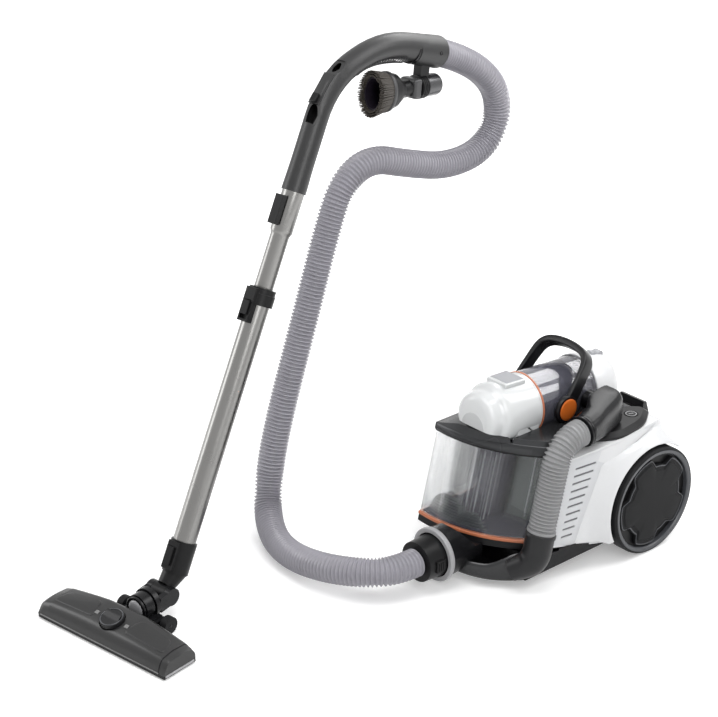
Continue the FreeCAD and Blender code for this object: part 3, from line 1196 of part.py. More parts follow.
def build_head():
    cover = head_skin(0).cut(head_skin(WALL))
    throat = rod(V(0, HEAD_DEPTH - 20, SWIVEL_Z - 8), Y_AXIS, 11, 40)
    ear = box(PEDAL_EAR_X, PEDAL_EAR_X + PEDAL_EAR_T, PEDAL_AT[0] - 4, PEDAL_AT[0] + 4, PEDAL_PIN_Z - 4, 40)
    ears = [ear, flip(ear)]
    cover = union([cover] + [e.common(head_skin(1)) for e in ears])
    pin_bore = rod(V(-60, PEDAL_AT[0], PEDAL_PIN_Z), X_AXIS, PEDAL_PIN_R + RUN_FIT, 120)
    cover = without(cover, pedal_disc(PEDAL_R + MOVE_GAP, -8, 30), throat, pin_bore)
    add("nozzle_cover", to_machine(cover))
    sole = box(-HEAD_HALF + 0.5, HEAD_HALF - 0.5, 1, HEAD_DEPTH, SOLE_Z0, SOLE_Z0 + SOLE_T)
    mouth = box(-MOUTH_HALF, MOUTH_HALF, MOUTH_Y0, MOUTH_Y1, 0, 40)
    brush_slot = box(-STRIP_HALF - MOVE_GAP, STRIP_HALF + MOVE_GAP, STRIP_Y0 - MOVE_GAP, STRIP_Y1 + MOVE_GAP, 0, 40)
    channel = box(-CHANNEL_HALF, CHANNEL_HALF, MOUTH_Y1 - 2, HEAD_DEPTH - 6, SOLE_Z0 + 3, 40)
    ears = []
    for s in (-1, 1):
        x0 = min(s * 28.8, s * 36)
        ear = side([(HEAD_DEPTH - 3, SOLE_Z0), (HEAD_DEPTH - 3, SOLE_Z0 + 4), (YOKE_AXIS[0], YOKE_AXIS[1] + 6),
                    (YOKE_AXIS[0] + 5, YOKE_AXIS[1]), (YOKE_AXIS[0], SOLE_Z0 + 3)], x0, x0 + 7.2)
        ears.append(ear)
    pins = [rod(V(s * 20, YOKE_AXIS[0], YOKE_AXIS[1]), X_AXIS * s, 2.5, 14) for s in (-1, 1)]
    sole = union([without(sole, mouth, brush_slot, channel)] + ears + pins)
    sole = without(sole, box(-15.8, 15.8, HEAD_DEPTH + 0.5, 100, 0, 60), head_skin(0).cut(head_skin(WALL)))
    add("nozzle_sole", to_machine(sole))
    disc = pedal_disc(PEDAL_R, -3.5, 3.0)
    wedge = prism([(-14, -3, 2), (14, -3, 2), (14, 4, 6), (-14, 4, 6)], V(0, 4, 0))
    wedge = wedge.common(rod(ORIGIN, Z_AXIS, PEDAL_R - 2, 20))
    wedge.rotate(ORIGIN, X_AXIS, PEDAL_TILT)
    wedge.translate(V(0, PEDAL_AT[0], PEDAL_AT[1]))
    web = box(-11, 11, PEDAL_AT[0] - 3, PEDAL_AT[0] + 3, PEDAL_PIN_Z - 2, PEDAL_AT[1] - 1)
    pin_half = PEDAL_EAR_X + PEDAL_EAR_T
    pin = rod(V(-pin_half, PEDAL_AT[0], PEDAL_PIN_Z), X_AXIS, PEDAL_PIN_R, 2 * pin_half)
    add("nozzle_pedal", to_machine(union([disc, wedge, web, pin])))
    add("brush_strip", to_machine(box(-STRIP_HALF, STRIP_HALF, STRIP_Y0, STRIP_Y1, SOLE_Z0 - 0.3, SOLE_Z0 + 12)))


def build_hose():
    edges, radii = cord_edges(HOSE_ROUTE)
    tube = tube_along(edges, HOSE_D / 2)
    add("main_hose", tube)
    length = Part.Wire(edges).Length
    print("hose length %.0f, volume / (section x length) %.4f"
          % (length, tube.Volume / (math.pi * (HOSE_D / 2) ** 2 * length)))
    print("hose arc radii", " ".join("%.0f" % r for r in radii))


def main():
    build_base()
    build_inlet()
    build_side_duct()
    build_deck()
    build_chassis()
    build_flanks()
    build_rear_door()
    build_bin()
    build_bin_inside()
    build_cyclone()
    build_carry_handle()
    build_wheels()
    build_caster()
    build_motor()
    build_cord_outlet()
    build_wand()
    build_handle()
    build_brush_tool()
    build_neck()
    build_yoke()
    build_head()
    build_hose()
    solid = Part.Compound([shape for name, shape in PARTS.items() if name not in CORD_NODES])
    bounds = solid.optimalBoundingBox(False, False)
    shift = V(-(bounds.XMin + bounds.XMax) / 2, -(bounds.YMin + bounds.YMax) / 2, -bounds.ZMin)
    print("frame shift %.4f %.4f %.4f" % tuple(shift))
    print("size %.1f x %.1f x %.1f" % (bounds.XLength, bounds.YLength, bounds.ZLength))
    os.makedirs("parts", exist_ok=True)
    for name, shape in PARTS.items():
        shape.translate(shift)
        shape.exportStep("parts/%s.step" % name)
    print(len(PARTS), "nodes")


main()
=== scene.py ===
"""Looks of a bagless canister vacuum cleaner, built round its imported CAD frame."""

import json
import logging
import math
from dataclasses import dataclass, field
from enum import Enum
from typing import Callable, Dict, Iterable, List, Optional, Sequence, Tuple

import bmesh
import bpy
import numpy as np
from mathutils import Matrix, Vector

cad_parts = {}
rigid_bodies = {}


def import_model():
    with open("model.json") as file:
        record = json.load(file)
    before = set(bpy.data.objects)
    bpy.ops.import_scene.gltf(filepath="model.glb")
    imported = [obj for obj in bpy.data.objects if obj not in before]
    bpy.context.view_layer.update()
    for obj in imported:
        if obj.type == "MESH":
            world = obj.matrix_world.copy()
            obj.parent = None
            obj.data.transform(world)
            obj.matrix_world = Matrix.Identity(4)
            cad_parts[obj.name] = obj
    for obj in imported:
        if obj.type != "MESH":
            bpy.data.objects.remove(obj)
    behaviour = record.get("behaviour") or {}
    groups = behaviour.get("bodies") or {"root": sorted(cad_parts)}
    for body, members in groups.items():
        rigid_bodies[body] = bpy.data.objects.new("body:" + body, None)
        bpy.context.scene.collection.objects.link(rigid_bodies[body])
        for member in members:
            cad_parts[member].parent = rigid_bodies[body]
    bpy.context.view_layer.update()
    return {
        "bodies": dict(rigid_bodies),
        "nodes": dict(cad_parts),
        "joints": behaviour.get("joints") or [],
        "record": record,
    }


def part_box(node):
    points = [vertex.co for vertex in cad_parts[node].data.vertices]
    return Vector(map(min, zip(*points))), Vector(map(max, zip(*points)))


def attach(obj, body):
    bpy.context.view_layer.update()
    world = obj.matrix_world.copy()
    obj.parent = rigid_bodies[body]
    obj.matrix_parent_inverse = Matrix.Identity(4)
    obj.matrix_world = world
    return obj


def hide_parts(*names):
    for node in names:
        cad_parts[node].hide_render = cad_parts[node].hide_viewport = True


LOG = logging.getLogger("vacuum_cleaner")
MM = 0.001
FORM_WELD_M = 2e-6
NODE_WELD_M = 2e-5
FLAT_DEGREES = 0.5
EDGE_DEGREES = 32.0
PLASTIC_IOR = 1.46
COAT_ROUGHNESS = 0.05
RELIEF_M = 0.0002
BRUSHED_SCALE = (1.0, 0.04, 0.02)
BRUSHED_DEGREES = (28.0, 0.0, 9.3)
X_AXIS, Y_AXIS, Z_AXIS = (1, 0, 0), (0, 1, 0), (0, 0, 1)
Point = Sequence[float]
Pair = Tuple[float, float]
Pairs = Tuple[Pair, ...]
Outline = List[Pair]
Triple = Tuple[float, float, float]
Tree = bpy.types.NodeTree
Socket = bpy.types.NodeSocket
Thing = bpy.types.Object


# ------------------------------------------------------------------ finishes
def fill(tree: Tree, node: bpy.types.Node, values: Dict) -> None:
    """Fill a node's inputs: a socket is linked to, and anything else is the input's value."""
    for key, value in values.items():
        if isinstance(value, Socket):
            tree.links.new(value, node.inputs[key])
        else:
            node.inputs[key].default_value = value


def add_node(tree: Tree, kind: str, values: Optional[Dict] = None, **settings: str) -> bpy.types.Node:
    """Add a shader node.

    Args:
        tree: The material's or the world's tree.
        kind: The node's kind, without its ShaderNode prefix.
        values: What goes into its inputs.
        settings: Its properties.

    Returns:
        The node.
    """
    node = tree.nodes.new("ShaderNode" + kind)
    for key, value in settings.items():
        setattr(node, key, value)
    fill(tree, node, values or {})
    return node


class Surface(Enum):
    """The kind of grain a finish has."""

    EVEN = "even"
    BRUSHED = "brushed"


@dataclass(frozen=True)
class Finish:
    """A procedural finish and the record slot that it belongs to."""

    name: str
    slot: str
    color: Triple
    roughness: float
    surface: Surface = Surface.EVEN
    metallic: float = 0.0
    coat: float = 0.0
    clearness: float = 0.0
    opacity: float = 1.0
    vary: float = 0.10
    grain_mm: float = 0.6
    bump: float = 0.08
    sheen: float = 0.0
    gleam: float = 0.5

    def material(self) -> bpy.types.Material:
        """Make the node material, or return it if it is there already."""
        found = bpy.data.materials.get(self.name)
        if found is not None:
            return found
        mat = bpy.data.materials.new(self.name)
        mat.use_nodes = True
        mat.diffuse_color = (*self.color, self.opacity)
        tree = mat.node_tree
        place = add_node(tree, "TexCoord").outputs["Object"]
        broad = self._noise(tree, place, 9, 3)
        fine = self._noise(tree, self._stretch(tree, place), 1 / (self.grain_mm * MM), 2)
        darker = [c * (1 - self.vary) for c in self.color]
        lighter = [min(1, c * (1 + self.vary)) for c in self.color]
        tint = add_node(tree, "Mix", {"A": darker + [1], "B": lighter + [1], "Factor": broad}, data_type="RGBA")
        rough = add_node(tree, "MapRange", {
            "To Min": self.roughness * 0.85, "To Max": min(1, self.roughness * 1.18), "Value": broad})
        relief = add_node(tree, "Bump", {"Strength": self.bump, "Distance": RELIEF_M, "Height": fine})
        fill(tree, tree.nodes["Principled BSDF"], {
            "Metallic": self.metallic, "Coat Weight": self.coat, "Coat Roughness": COAT_ROUGHNESS,
            "Sheen Weight": self.sheen, "Specular IOR Level": self.gleam, "Transmission Weight": self.clearness,
            "Alpha": self.opacity, "IOR": PLASTIC_IOR, "Base Color": tint.outputs["Result"],
            "Roughness": rough.outputs["Result"], "Normal": relief.outputs["Normal"]})
        return mat

    def _stretch(self, tree: Tree, place: Socket) -> Socket:
        """Draw the grain out along the length of brushed metal."""
        if self.surface is not Surface.BRUSHED:
            return place
        turn = [math.radians(degrees) for degrees in BRUSHED_DEGREES]
        return add_node(tree, "Mapping", {"Scale": BRUSHED_SCALE, "Rotation": turn, "Vector": place}).outputs["Vector"]

    @staticmethod
    def _noise(tree: Tree, place: Socket, scale: float, detail: float) -> Socket:
        """Add a noise texture and return its output."""
        return add_node(tree, "TexNoise", {"Scale": scale, "Detail": detail, "Vector": place}).outputs["Fac"]


WHITE = Finish("white_moulding", "white_gloss", (0.72, 0.726, 0.735), 0.20, coat=0.2, vary=0.012, bump=0.02)
# The same white plastic as the panels, tinted greyer: painted shade for the vented front strip and shoulder band,
# which face away from the light.
WHITE_PAINTED_SHADE = Finish("white_painted_shade_moulding", "white_gloss", (0.62, 0.63, 0.645), 0.30, vary=0.012, bump=0.02)
VENT_GREY = Finish("vent_backing_moulding", "light_grey", (0.17, 0.17, 0.18), 0.5, vary=0.05)
BLACK_GLOSS = Finish("black_gloss_moulding", "black_gloss", (0.007, 0.007, 0.008), 0.25, vary=0.2, bump=0.01,
                     gleam=0.24)
BLACK_SATIN = Finish("black_satin_moulding", "black_satin", (0.0075, 0.0075, 0.008), 0.36, vary=0.2, gleam=0.2)
DARK_GREY = Finish("dark_grey_moulding", "dark_grey_satin", (0.013, 0.013, 0.014), 0.32, vary=0.12, gleam=0.3)
SHROUD = Finish("shroud_moulding", "dark_grey_satin", (0.050, 0.046, 0.062), 0.22, coat=0.3, vary=0.1, bump=0)
CHARCOAL = Finish("charcoal_moulding", "black_satin", (0.017, 0.017, 0.0175), 0.38, vary=0.15, gleam=0.45)
BUMPER = Finish("bumper_moulding", "dark_grey_satin", (0.014, 0.0145, 0.016), 0.24, coat=0.2, vary=0.12, bump=0.02,
                gleam=0.4)
HANDLE_BLACK = Finish("handle_moulding", "black_gloss", (0.007, 0.007, 0.008), 0.28, vary=0.15, gleam=0.3)
DIVIDER = Finish("divider_moulding", "dark_grey_satin", (0.135, 0.148, 0.145), 0.4, vary=0.08)
RIB_LIGHT = Finish("rib_moulding", "light_grey", (0.5, 0.52, 0.53), 0.3, vary=0.04)
SLAT = Finish("slat_moulding", "dark_grey_satin", (0.07, 0.075, 0.08), 0.35, vary=0.1)
SLEEVE = Finish("sleeve_moulding", "dark_grey_satin", (0.05, 0.048, 0.062), 0.2, vary=0.15, bump=0)
HATCH_GREY = Finish("hatch_plastic", "clear_frost", (0.36, 0.365, 0.385), 0.22, clearness=0.1, vary=0.03, bump=0.02)
FACET = Finish("facet_moulding", "black_satin", (0.052, 0.052, 0.054), 0.34, vary=0.1, gleam=0.4)
PLUG = Finish("swivel_plug_moulding", "black_gloss", (0.30, 0.30, 0.31), 0.22, vary=0.05, bump=0)
DARK_METAL = Finish("tool_sleeve_moulding", "black_satin", (0.085, 0.085, 0.088), 0.26, metallic=0.8, vary=0.1)
MOUTH = Finish("brush_mouth_rubber", "bristle", (0.010, 0.007, 0.013), 0.5, vary=0.2, gleam=0.3)
HEAD_GREY = Finish("head_moulding", "black_satin", (0.022, 0.022, 0.0225), 0.28, vary=0.1, bump=0.02, gleam=0.45)
PLATEAU = Finish("head_panel_moulding", "black_satin", (0.020, 0.020, 0.0205), 0.34, vary=0.1, bump=0.02, gleam=0.4)
# Light grey of the printed marks, also used for the painted highlight line along the floor head's front edge.
MARK_AND_HIGHLIGHT = Finish("mark_and_highlight_moulding", "light_grey", (0.20, 0.20, 0.20), 0.4, vary=0.05)
LID_GREY = Finish("lid_satin_paint", "black_gloss", (0.040, 0.041, 0.043), 0.26, metallic=0.6, vary=0.08, gleam=0.35)
LIGHT_GREY = Finish("light_grey_moulding", "light_grey", (0.36, 0.36, 0.37), 0.36, vary=0.04)
HOSE_GREY = Finish("hose_grey_vinyl", "hose_grey", (0.30, 0.292, 0.325), 0.22, vary=0.05, bump=0)
SIDE_HOSE = Finish("side_hose_vinyl", "hose_grey", (0.27, 0.272, 0.276), 0.22, vary=0.05, bump=0)
CLEAR = Finish("clear_bin_plastic", "clear_smoke", (0.86, 0.88, 0.89), 0.06, clearness=1, opacity=0.42, vary=0.01,
               bump=0)
FROST = Finish("frosted_cap_plastic", "clear_frost", (0.80, 0.815, 0.82), 0.17, clearness=0.25, coat=0.3, vary=0.015,
               bump=0.02)
FROST_GREY = Finish("frosted_window_plastic", "clear_frost", (0.56, 0.57, 0.575), 0.22, clearness=0.2, vary=0.02,
                    bump=0.02)
SMOKE = Finish("smoked_body_plastic", "smoke", (0.30, 0.30, 0.36), 0.08, clearness=0.75, opacity=0.72, coat=0.4,
               vary=0.02, bump=0)
ORANGE = Finish("orange_moulding", "orange", (0.60, 0.135, 0.018), 0.36, vary=0.06)
COPPER = Finish("copper_rubber", "orange", (0.46, 0.15, 0.07), 0.42, vary=0.06)
TYRE = Finish("wheel_grey_rubber", "wheel_grey", (0.012, 0.0122, 0.013), 0.5, vary=0.12, bump=0.12, gleam=0.12)
RIM = Finish("wheel_rim_moulding", "wheel_grey", (0.060, 0.063, 0.070), 0.34, vary=0.08)
TUBE = Finish("satin_tube_metal", "tube_metal", (0.225, 0.222, 0.216), 0.27, Surface.BRUSHED, metallic=1, vary=0.08,
              bump=0.15)
MOTOR = Finish("motor_case_paint", "motor_metal", (0.20, 0.20, 0.21), 0.45, metallic=0.3)
STEEL = Finish("rotor_steel", "steel", (0.5, 0.5, 0.5), 0.35, metallic=1)
FELT = Finish("filter_felt", "filter_felt", (0.72, 0.72, 0.66), 0.95, grain_mm=0.35, bump=0.5, sheen=0.3)
BRISTLE = Finish("bristle_fibre", "bristle", (0.042, 0.034, 0.026), 0.55, vary=0.35, sheen=0.15)


# ------------------------------------------------------------------ drawing frames
def share_of(value: float) -> float:
    """The number, kept between 0 and 1."""
    return min(1, max(0, value))


def tilted(points: np.ndarray, degrees: float, y: float, z: float) -> np.ndarray:
    """Points turned about the x axis and then moved by y and z."""
    p, a = np.array(points, float), math.radians(degrees)
    back = p[:, 1] * math.cos(a) - p[:, 2] * math.sin(a) + y
    up = p[:, 1] * math.sin(a) + p[:, 2] * math.cos(a) + z
    return np.stack([p[:, 0], back, up], 1)


@dataclass(frozen=True)
class Drawing:
    """Where the machine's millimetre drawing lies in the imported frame."""

    shift: Vector
    head_origin: Point = (-168.85, -632.3, 0)
    head_yaw: float = 9.293
    axle_y: float = 130.0
    cyclone_z: float = 232.0
    cyclone_tilt: float = -3.4
    bin_z0: float = 66.0
    lean: float = math.tan(math.radians(13.9))

    @classmethod
    def from_frame(cls) -> "Drawing":
        """Find the drawing's origin from the two rear wheels and their axle."""
        left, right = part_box("rear_wheel_left"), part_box("rear_wheel_right")
        middle = (left[0] + left[1] + right[0] + right[1]) / 4
        return cls(Vector((middle.x, middle.y - cls.axle_y * MM, 0)))

    def place(self, points: Iterable[Point]) -> np.ndarray:
        """Turn millimetres of the canister's drawing into metres of the frame."""
        return np.array(list(points), float) * MM + np.array(self.shift)

    def from_head(self, points: np.ndarray) -> np.ndarray:
        """Turn points of the floor head's drawing into the canister's drawing, in millimetres."""
        p = np.array(points, float)
        a = math.radians(self.head_yaw)
        x = p[:, 0] * math.cos(a) - p[:, 1] * math.sin(a) + self.head_origin[0]
        y = p[:, 0] * math.sin(a) + p[:, 1] * math.cos(a) + self.head_origin[1]
        return np.stack([x, y, p[:, 2]], 1)

    def from_cyclone(self, points: np.ndarray) -> np.ndarray:
        """Turn points drawn about the cyclone's axis, which lies on y, into the canister's drawing."""
        return tilted(points, self.cyclone_tilt, 0, self.cyclone_z)

    def leaning(self, z: float) -> float:
        """How far the leaning dust bin has moved back at height z."""
        return (z - self.bin_z0) * self.lean


# ------------------------------------------------------------------ forms
@dataclass
class Form:
    """A mesh in millimetres of the canister's drawing."""

    points: np.ndarray
    faces: List[Tuple[int, ...]] = field(default_factory=list)

    def __add__(self, other: "Form") -> "Form":
        """Put two forms into one mesh."""
        count = len(self.points)
        faces = [tuple(i + count for i in f) for f in other.faces]
        return Form(np.vstack([self.points, other.points]), self.faces + faces)

    def mapped(self, change: Callable[[np.ndarray], np.ndarray]) -> "Form":
        """Move every point by a function of all points."""
        return Form(change(self.points), self.faces)

    def mirrored(self) -> "Form":
        """The same form on the other side of the machine."""
        return Form(self.points * np.array([-1, 1, 1]), [tuple(reversed(f)) for f in self.faces])


def unit(v: Point) -> np.ndarray:
    """The vector's direction."""
    v = np.array(v, float)
    return v / np.linalg.norm(v)


def gather(forms: Iterable[Form]) -> Form:
    """Put many forms into one mesh."""
    forms = list(forms)
    total = forms[0]
    for form in forms[1:]:
        total = total + form
    return total


def rings_to_form(rings: Sequence[Sequence[Point]], close_ends: bool = True, closed_path: bool = False) -> Form:
    """Join rings of equal length into a tube.

    Args:
        rings: Closed outlines, one after the other.
        close_ends: Whether the first and last ring get a face.
        closed_path: Whether the last ring joins the first.

    Returns:
        The tube as a form.
    """
    n, count = len(rings[0]), len(rings)
    faces: List[Tuple[int, ...]] = []
    for k in range(count if closed_path else count - 1):
        a, b = k * n, (k + 1) % count * n
        faces += [(a + i, a + (i + 1) % n, b + (i + 1) % n, b + i) for i in range(n)]
    if close_ends and not closed_path:
        faces += [tuple(reversed(range(n))), tuple(range((count - 1) * n, count * n))]
    return Form(np.vstack(rings), faces)


def lathe(profile: Outline, origin: Point = (0, 0, 0), axis: Point = Y_AXIS, segments: int = 96) -> Form:
    """Turn a profile of (along, radius) pairs about an axis; a closed loop of pairs makes a ring."""
    axis = unit(axis)
    across = unit(np.cross(axis, (0.3, 0.1, 0.95) if abs(axis[2]) < 0.9 else (1, 0, 0)))
    other = np.cross(axis, across)
    closed = math.dist(profile[0], profile[-1]) < 1e-9
    pairs = profile[:-1] if closed else profile
    angles = np.linspace(0, 2 * math.pi, segments, endpoint=False)
    turn = np.outer(np.cos(angles), across) + np.outer(np.sin(angles), other)
    rings = [np.array(origin, float) + axis * s + turn * max(r, 1e-3) for s, r in pairs]
    return rings_to_form(rings, close_ends=not closed, closed_path=closed)


def hoop(profile: Outline, *where: object) -> Form:
    """A turned ring whose profile goes right round; where is what lathe takes."""
    return lathe(profile + profile[:1], *where)


def drum(low: float, high: float, radius: float, *where: object) -> Form:
    """A round solid from low to high along its axis, for cutting; where is what lathe takes."""
    return lathe([(low, 0.5), (low, radius), (high, radius), (high, 0.5)], *where)


def prism(outline: Sequence[Point], direction: Point) -> Form:
    """A solid between a flat outline and its copy moved along direction."""
    low = np.array(outline, float)
    return rings_to_form([low, low + np.array(direction, float)])


def block(x: Pair, y: Pair, z: Pair) -> Form:
    """A rectangular solid, for cutting and for parts that get their edges rounded."""
    return prism([(x[0], y[0], z[0]), (x[1], y[0], z[0]), (x[1], y[1], z[0]), (x[0], y[1], z[0])], (0, 0, z[1] - z[0]))


def side_prism(outline: Outline, x0: float, x1: float) -> Form:
    """A solid whose outline in y and z is drawn from the side."""
    return prism([(x0, y, z) for y, z in outline], (x1 - x0, 0, 0))


def eased(outline: Sequence[Pair], radii: Sequence[float], steps: int = 5) -> Outline:
    """Round the corners of a flat outline.

    Args:
        outline: The corners, in order round the outline.
        radii: How far along its two edges each corner's rounding reaches.
        steps: Points in each rounding, less one.

    Returns:
        The rounded outline.
    """
    p = np.array(outline, float)
    out: Outline = []
    for i in range(len(p)):
        before, after = p[i - 1] - p[i], p[(i + 1) % len(p)] - p[i]
        reach = min(radii[i], 0.49 * np.linalg.norm(before), 0.49 * np.linalg.norm(after))
        a, b = p[i] + unit(before) * reach, p[i] + unit(after) * reach
        for t in np.linspace(0, 1, steps + 1):
            out.append(tuple((1 - t) ** 2 * a + 2 * t * (1 - t) * p[i] + t * t * b))
    return out


def inset(outline: Sequence[Pair], by: float) -> Outline:
    """Move every edge of a convex outline, drawn anticlockwise, inward."""
    p = np.array(outline, float)
    count = len(p)
    shifted = []
    for i in range(count):
        edge = unit(p[(i + 1) % count] - p[i])
        shifted.append((p[i] + np.array([-edge[1], edge[0]]) * by, edge))
    out: Outline = []
    for i in range(count):
        (a, d0), (b, d1) = shifted[i - 1], shifted[i]
        det = d0[0] * d1[1] - d0[1] * d1[0]
        t = 0 if abs(det) < 1e-6 else ((b - a)[0] * d1[1] - (b - a)[1] * d1[0]) / det
        out.append(tuple(a + d0 * t) if abs(det) > 1e-6 else tuple(b))
    return out


def path_frames(path: np.ndarray) -> Tuple[np.ndarray, np.ndarray, np.ndarray]:
    """Tangents and two steady cross directions at every point of a path."""
    tangents = np.gradient(path, axis=0)
    tangents /= np.linalg.norm(tangents, axis=1)[:, None]
    side = unit(np.cross(tangents[0], (0, 0, 1) if abs(tangents[0][2]) < 0.9 else (1, 0, 0)))
    sides = []
    for t in tangents:
        side = unit(side - t * float(side @ t))
        sides.append(side)
    sides_array = np.array(sides)
    return tangents, sides_array, np.cross(tangents, sides_array)


def resample(path: np.ndarray, distances: np.ndarray) -> np.ndarray:
    """Points of a path at the given distances along it."""
    steps = np.concatenate([[0], np.cumsum(np.linalg.norm(np.diff(path, axis=0), axis=1))])
    return np.stack([np.interp(distances, steps, path[:, k]) for k in range(3)], 1)


def path_length(path: np.ndarray) -> float:
    """Length of a path of points."""
    return float(np.linalg.norm(np.diff(path, axis=0), axis=1).sum())


def sweep(centres: np.ndarray, radii: Sequence[float], around: int = 40) -> Form:
    """A round tube along a path with its own radius at every point."""
    _, sides, ups = path_frames(centres)
    angles = np.linspace(0, 2 * math.pi, around, endpoint=False)
    return rings_to_form([c + (np.outer(np.cos(angles), s) + np.outer(np.sin(angles), u)) * r
                          for c, s, u, r in zip(centres, sides, ups, radii)])


def smooth_route(points: Sequence[Point]) -> np.ndarray:
    """Points read from the smooth curve that a route's points control."""
    curve = bpy.data.curves.new("route", "CURVE")
    curve.dimensions = "3D"
    spline = curve.splines.new("NURBS")
    spline.points.add(len(points) - 1)
    for target, point in zip(spline.points, points):
        target.co = (*point, 1)
    spline.order_u = 3
    spline.use_endpoint_u = True
    spline.resolution_u = 24
    holder = bpy.data.objects.new("route", curve)
    line = bpy.data.meshes.new_from_object(holder)
    found = np.array([v.co[:] for v in line.vertices])
    bpy.data.meshes.remove(line)
    bpy.data.objects.remove(holder)
    bpy.data.curves.remove(curve)
    return found


@dataclass(frozen=True)
class Corrugation:
    """The ribs of a hose: their pitch, their depth and the shape of one rib."""

    pitch: float
    depth: float
    profile: Pairs = ((0, 0), (0.14, 0), (0.28, 0.5), (0.40, 0.9), (0.50, 1), (0.60, 0.9), (0.72, 0.5), (0.86, 0))

    def tube(self, line: np.ndarray, radius: float, around: int = 40) -> Form:
        """The ribbed tube round a line, in the line's own unit."""
        length = path_length(line)
        ribs = round(length / self.pitch)
        distances, radii = [], []
        for rib in range(ribs):
            for share, rise in self.profile:
                distances.append((rib + share) * length / ribs)
                radii.append(radius - self.depth * (1 - rise))
        distances.append(length)
        radii.append(radius - self.depth)
        return sweep(resample(line, np.array(distances)), radii, around)


# ------------------------------------------------------------------ pieces
class Workshop:
    """Makes Blender objects from forms and CAD nodes, dresses them and hangs them on their bodies."""

    def __init__(self, frame: Dict, drawing: Drawing) -> None:
        """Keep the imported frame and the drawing's place in it."""
        self.frame = frame
        self.drawing = drawing
        self.body_of = {n: b for b, members in frame["record"]["behaviour"]["bodies"].items() for n in members}

    def piece(self, name: str, form: Form, body: str, finish: Finish, bevel: float = 0.0, segments: int = 3,
              angle: float = EDGE_DEGREES, replaces: Sequence[str] = (), cuts: Sequence[Form] = (),
              keeps: Sequence[Form] = ()) -> Thing:
        """Make one piece from a form.

        Args:
            name: The piece's name.
            form: Its mesh, in millimetres of the drawing.
            body: The body it rides on.
            finish: Its finish.
            bevel: Width of its rounded edges, in millimetres.
            segments: Steps across each rounded edge.
            angle: Edges sharper than this stay sharp or get the bevel, in degrees.
            replaces: CAD nodes that it stands for.
            cuts: Forms that are cut away from it.
            keeps: Forms outside which nothing of it is kept.

        Returns:
            The new object.
        """
        mesh = self._mesh(name, form)
        if cuts or keeps:
            mesh = self._shaped(name, mesh, cuts, keeps)
        return self._finish_object(name, mesh, body, finish, bevel, segments, angle, replaces)

    def soften(self, node: str, finish: Finish, bevel: float, segments: int = 3, cuts: Sequence[Form] = ()) -> Thing:
        """Stand in for a CAD node with the same shape, welded and with its edges rounded."""
        mesh = self.frame["nodes"][node].data.copy()
        made = bmesh.new()
        made.from_mesh(mesh)
        bmesh.ops.remove_doubles(made, verts=made.verts, dist=NODE_WELD_M)
        bmesh.ops.dissolve_limit(made, angle_limit=math.radians(FLAT_DEGREES), verts=made.verts, edges=made.edges)
        made.to_mesh(mesh)
        made.free()
        mesh.materials.clear()
        found = mesh.attributes.get("custom_normal")
        if found is not None:
            mesh.attributes.remove(found)
        if cuts:
            mesh = self._shaped(node + "_skin", mesh, cuts, ())
        return self._finish_object(node + "_skin", mesh, self.body_of[node], finish, bevel, segments, EDGE_DEGREES,
                                   [node])

    def carve(self, form: Form, keeps: Sequence[Form] = (), cuts: Sequence[Form] = ()) -> Form:
        """A form after keeping only what others share with it and cutting others away."""
        mesh = self._shaped("carved", self._mesh("carved", form), cuts, keeps)
        points = np.array([v.co[:] for v in mesh.vertices])
        faces = [tuple(f.vertices) for f in mesh.polygons]
        bpy.data.meshes.remove(mesh)
        return Form((points - np.array(self.drawing.shift)) / MM, faces)

    def _mesh(self, name: str, form: Form) -> bpy.types.Mesh:
        """A clean mesh, in metres, of a form."""
        mesh = bpy.data.meshes.new(name)
        mesh.from_pydata([tuple(p) for p in self.drawing.place(form.points)], [], form.faces)
        made = bmesh.new()
        made.from_mesh(mesh)
        bmesh.ops.remove_doubles(made, verts=made.verts, dist=FORM_WELD_M)
        bmesh.ops.recalc_face_normals(made, faces=made.faces)
        made.to_mesh(mesh)
        made.free()
        return mesh

    def _shaped(self, name: str, mesh: bpy.types.Mesh, cuts: Sequence[Form], keeps: Sequence[Form]) -> bpy.types.Mesh:
        """The mesh after cutting some forms away and keeping only what others share with it."""
        main = bpy.data.objects.new(name + "_blank", mesh)
        bpy.context.scene.collection.objects.link(main)
        tools = []
        for kind, forms in (("INTERSECT", keeps), ("DIFFERENCE", cuts)):
            for form in forms:
                tool = bpy.data.objects.new(name + "_tool", self._mesh(name + "_tool", form))
                bpy.context.scene.collection.objects.link(tool)
                step = main.modifiers.new(kind.lower(), "BOOLEAN")
                step.operation, step.solver, step.object = kind, "EXACT", tool
                tools.append(tool)
        bpy.context.view_layer.update()
        result = bpy.data.meshes.new_from_object(main.evaluated_get(bpy.context.evaluated_depsgraph_get()))
        for thing in [main] + tools:
            data = thing.data
            bpy.data.objects.remove(thing)
            bpy.data.meshes.remove(data)
        result.name = name
        result.materials.clear()
        return result

    def _finish_object(self, name: str, mesh: bpy.types.Mesh, body: str, finish: Finish, bevel: float, segments: int,
                       angle: float, replaces: Sequence[str]) -> Thing:
        """Add the modifiers, the material and the body to a new mesh."""
        mesh.shade_smooth()
        mesh.set_sharp_from_angle(angle=math.radians(angle))
        thing = bpy.data.objects.new(name, mesh)
        bpy.context.scene.collection.objects.link(thing)
        mesh.materials.append(finish.material())
        if bevel > 0:
            rounding = thing.modifiers.new("rounded edges", "BEVEL")
            rounding.width = bevel * MM
            rounding.segments = segments
            rounding.limit_method = "ANGLE"
            rounding.angle_limit = math.radians(angle)
            rounding.use_clamp_overlap = True
            rounding.harden_normals = True
            rounding.miter_outer = "MITER_ARC"
        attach(thing, body)
        if replaces:
            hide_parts(*replaces)
        LOG.info("%s on %s", name, body)
        return thing


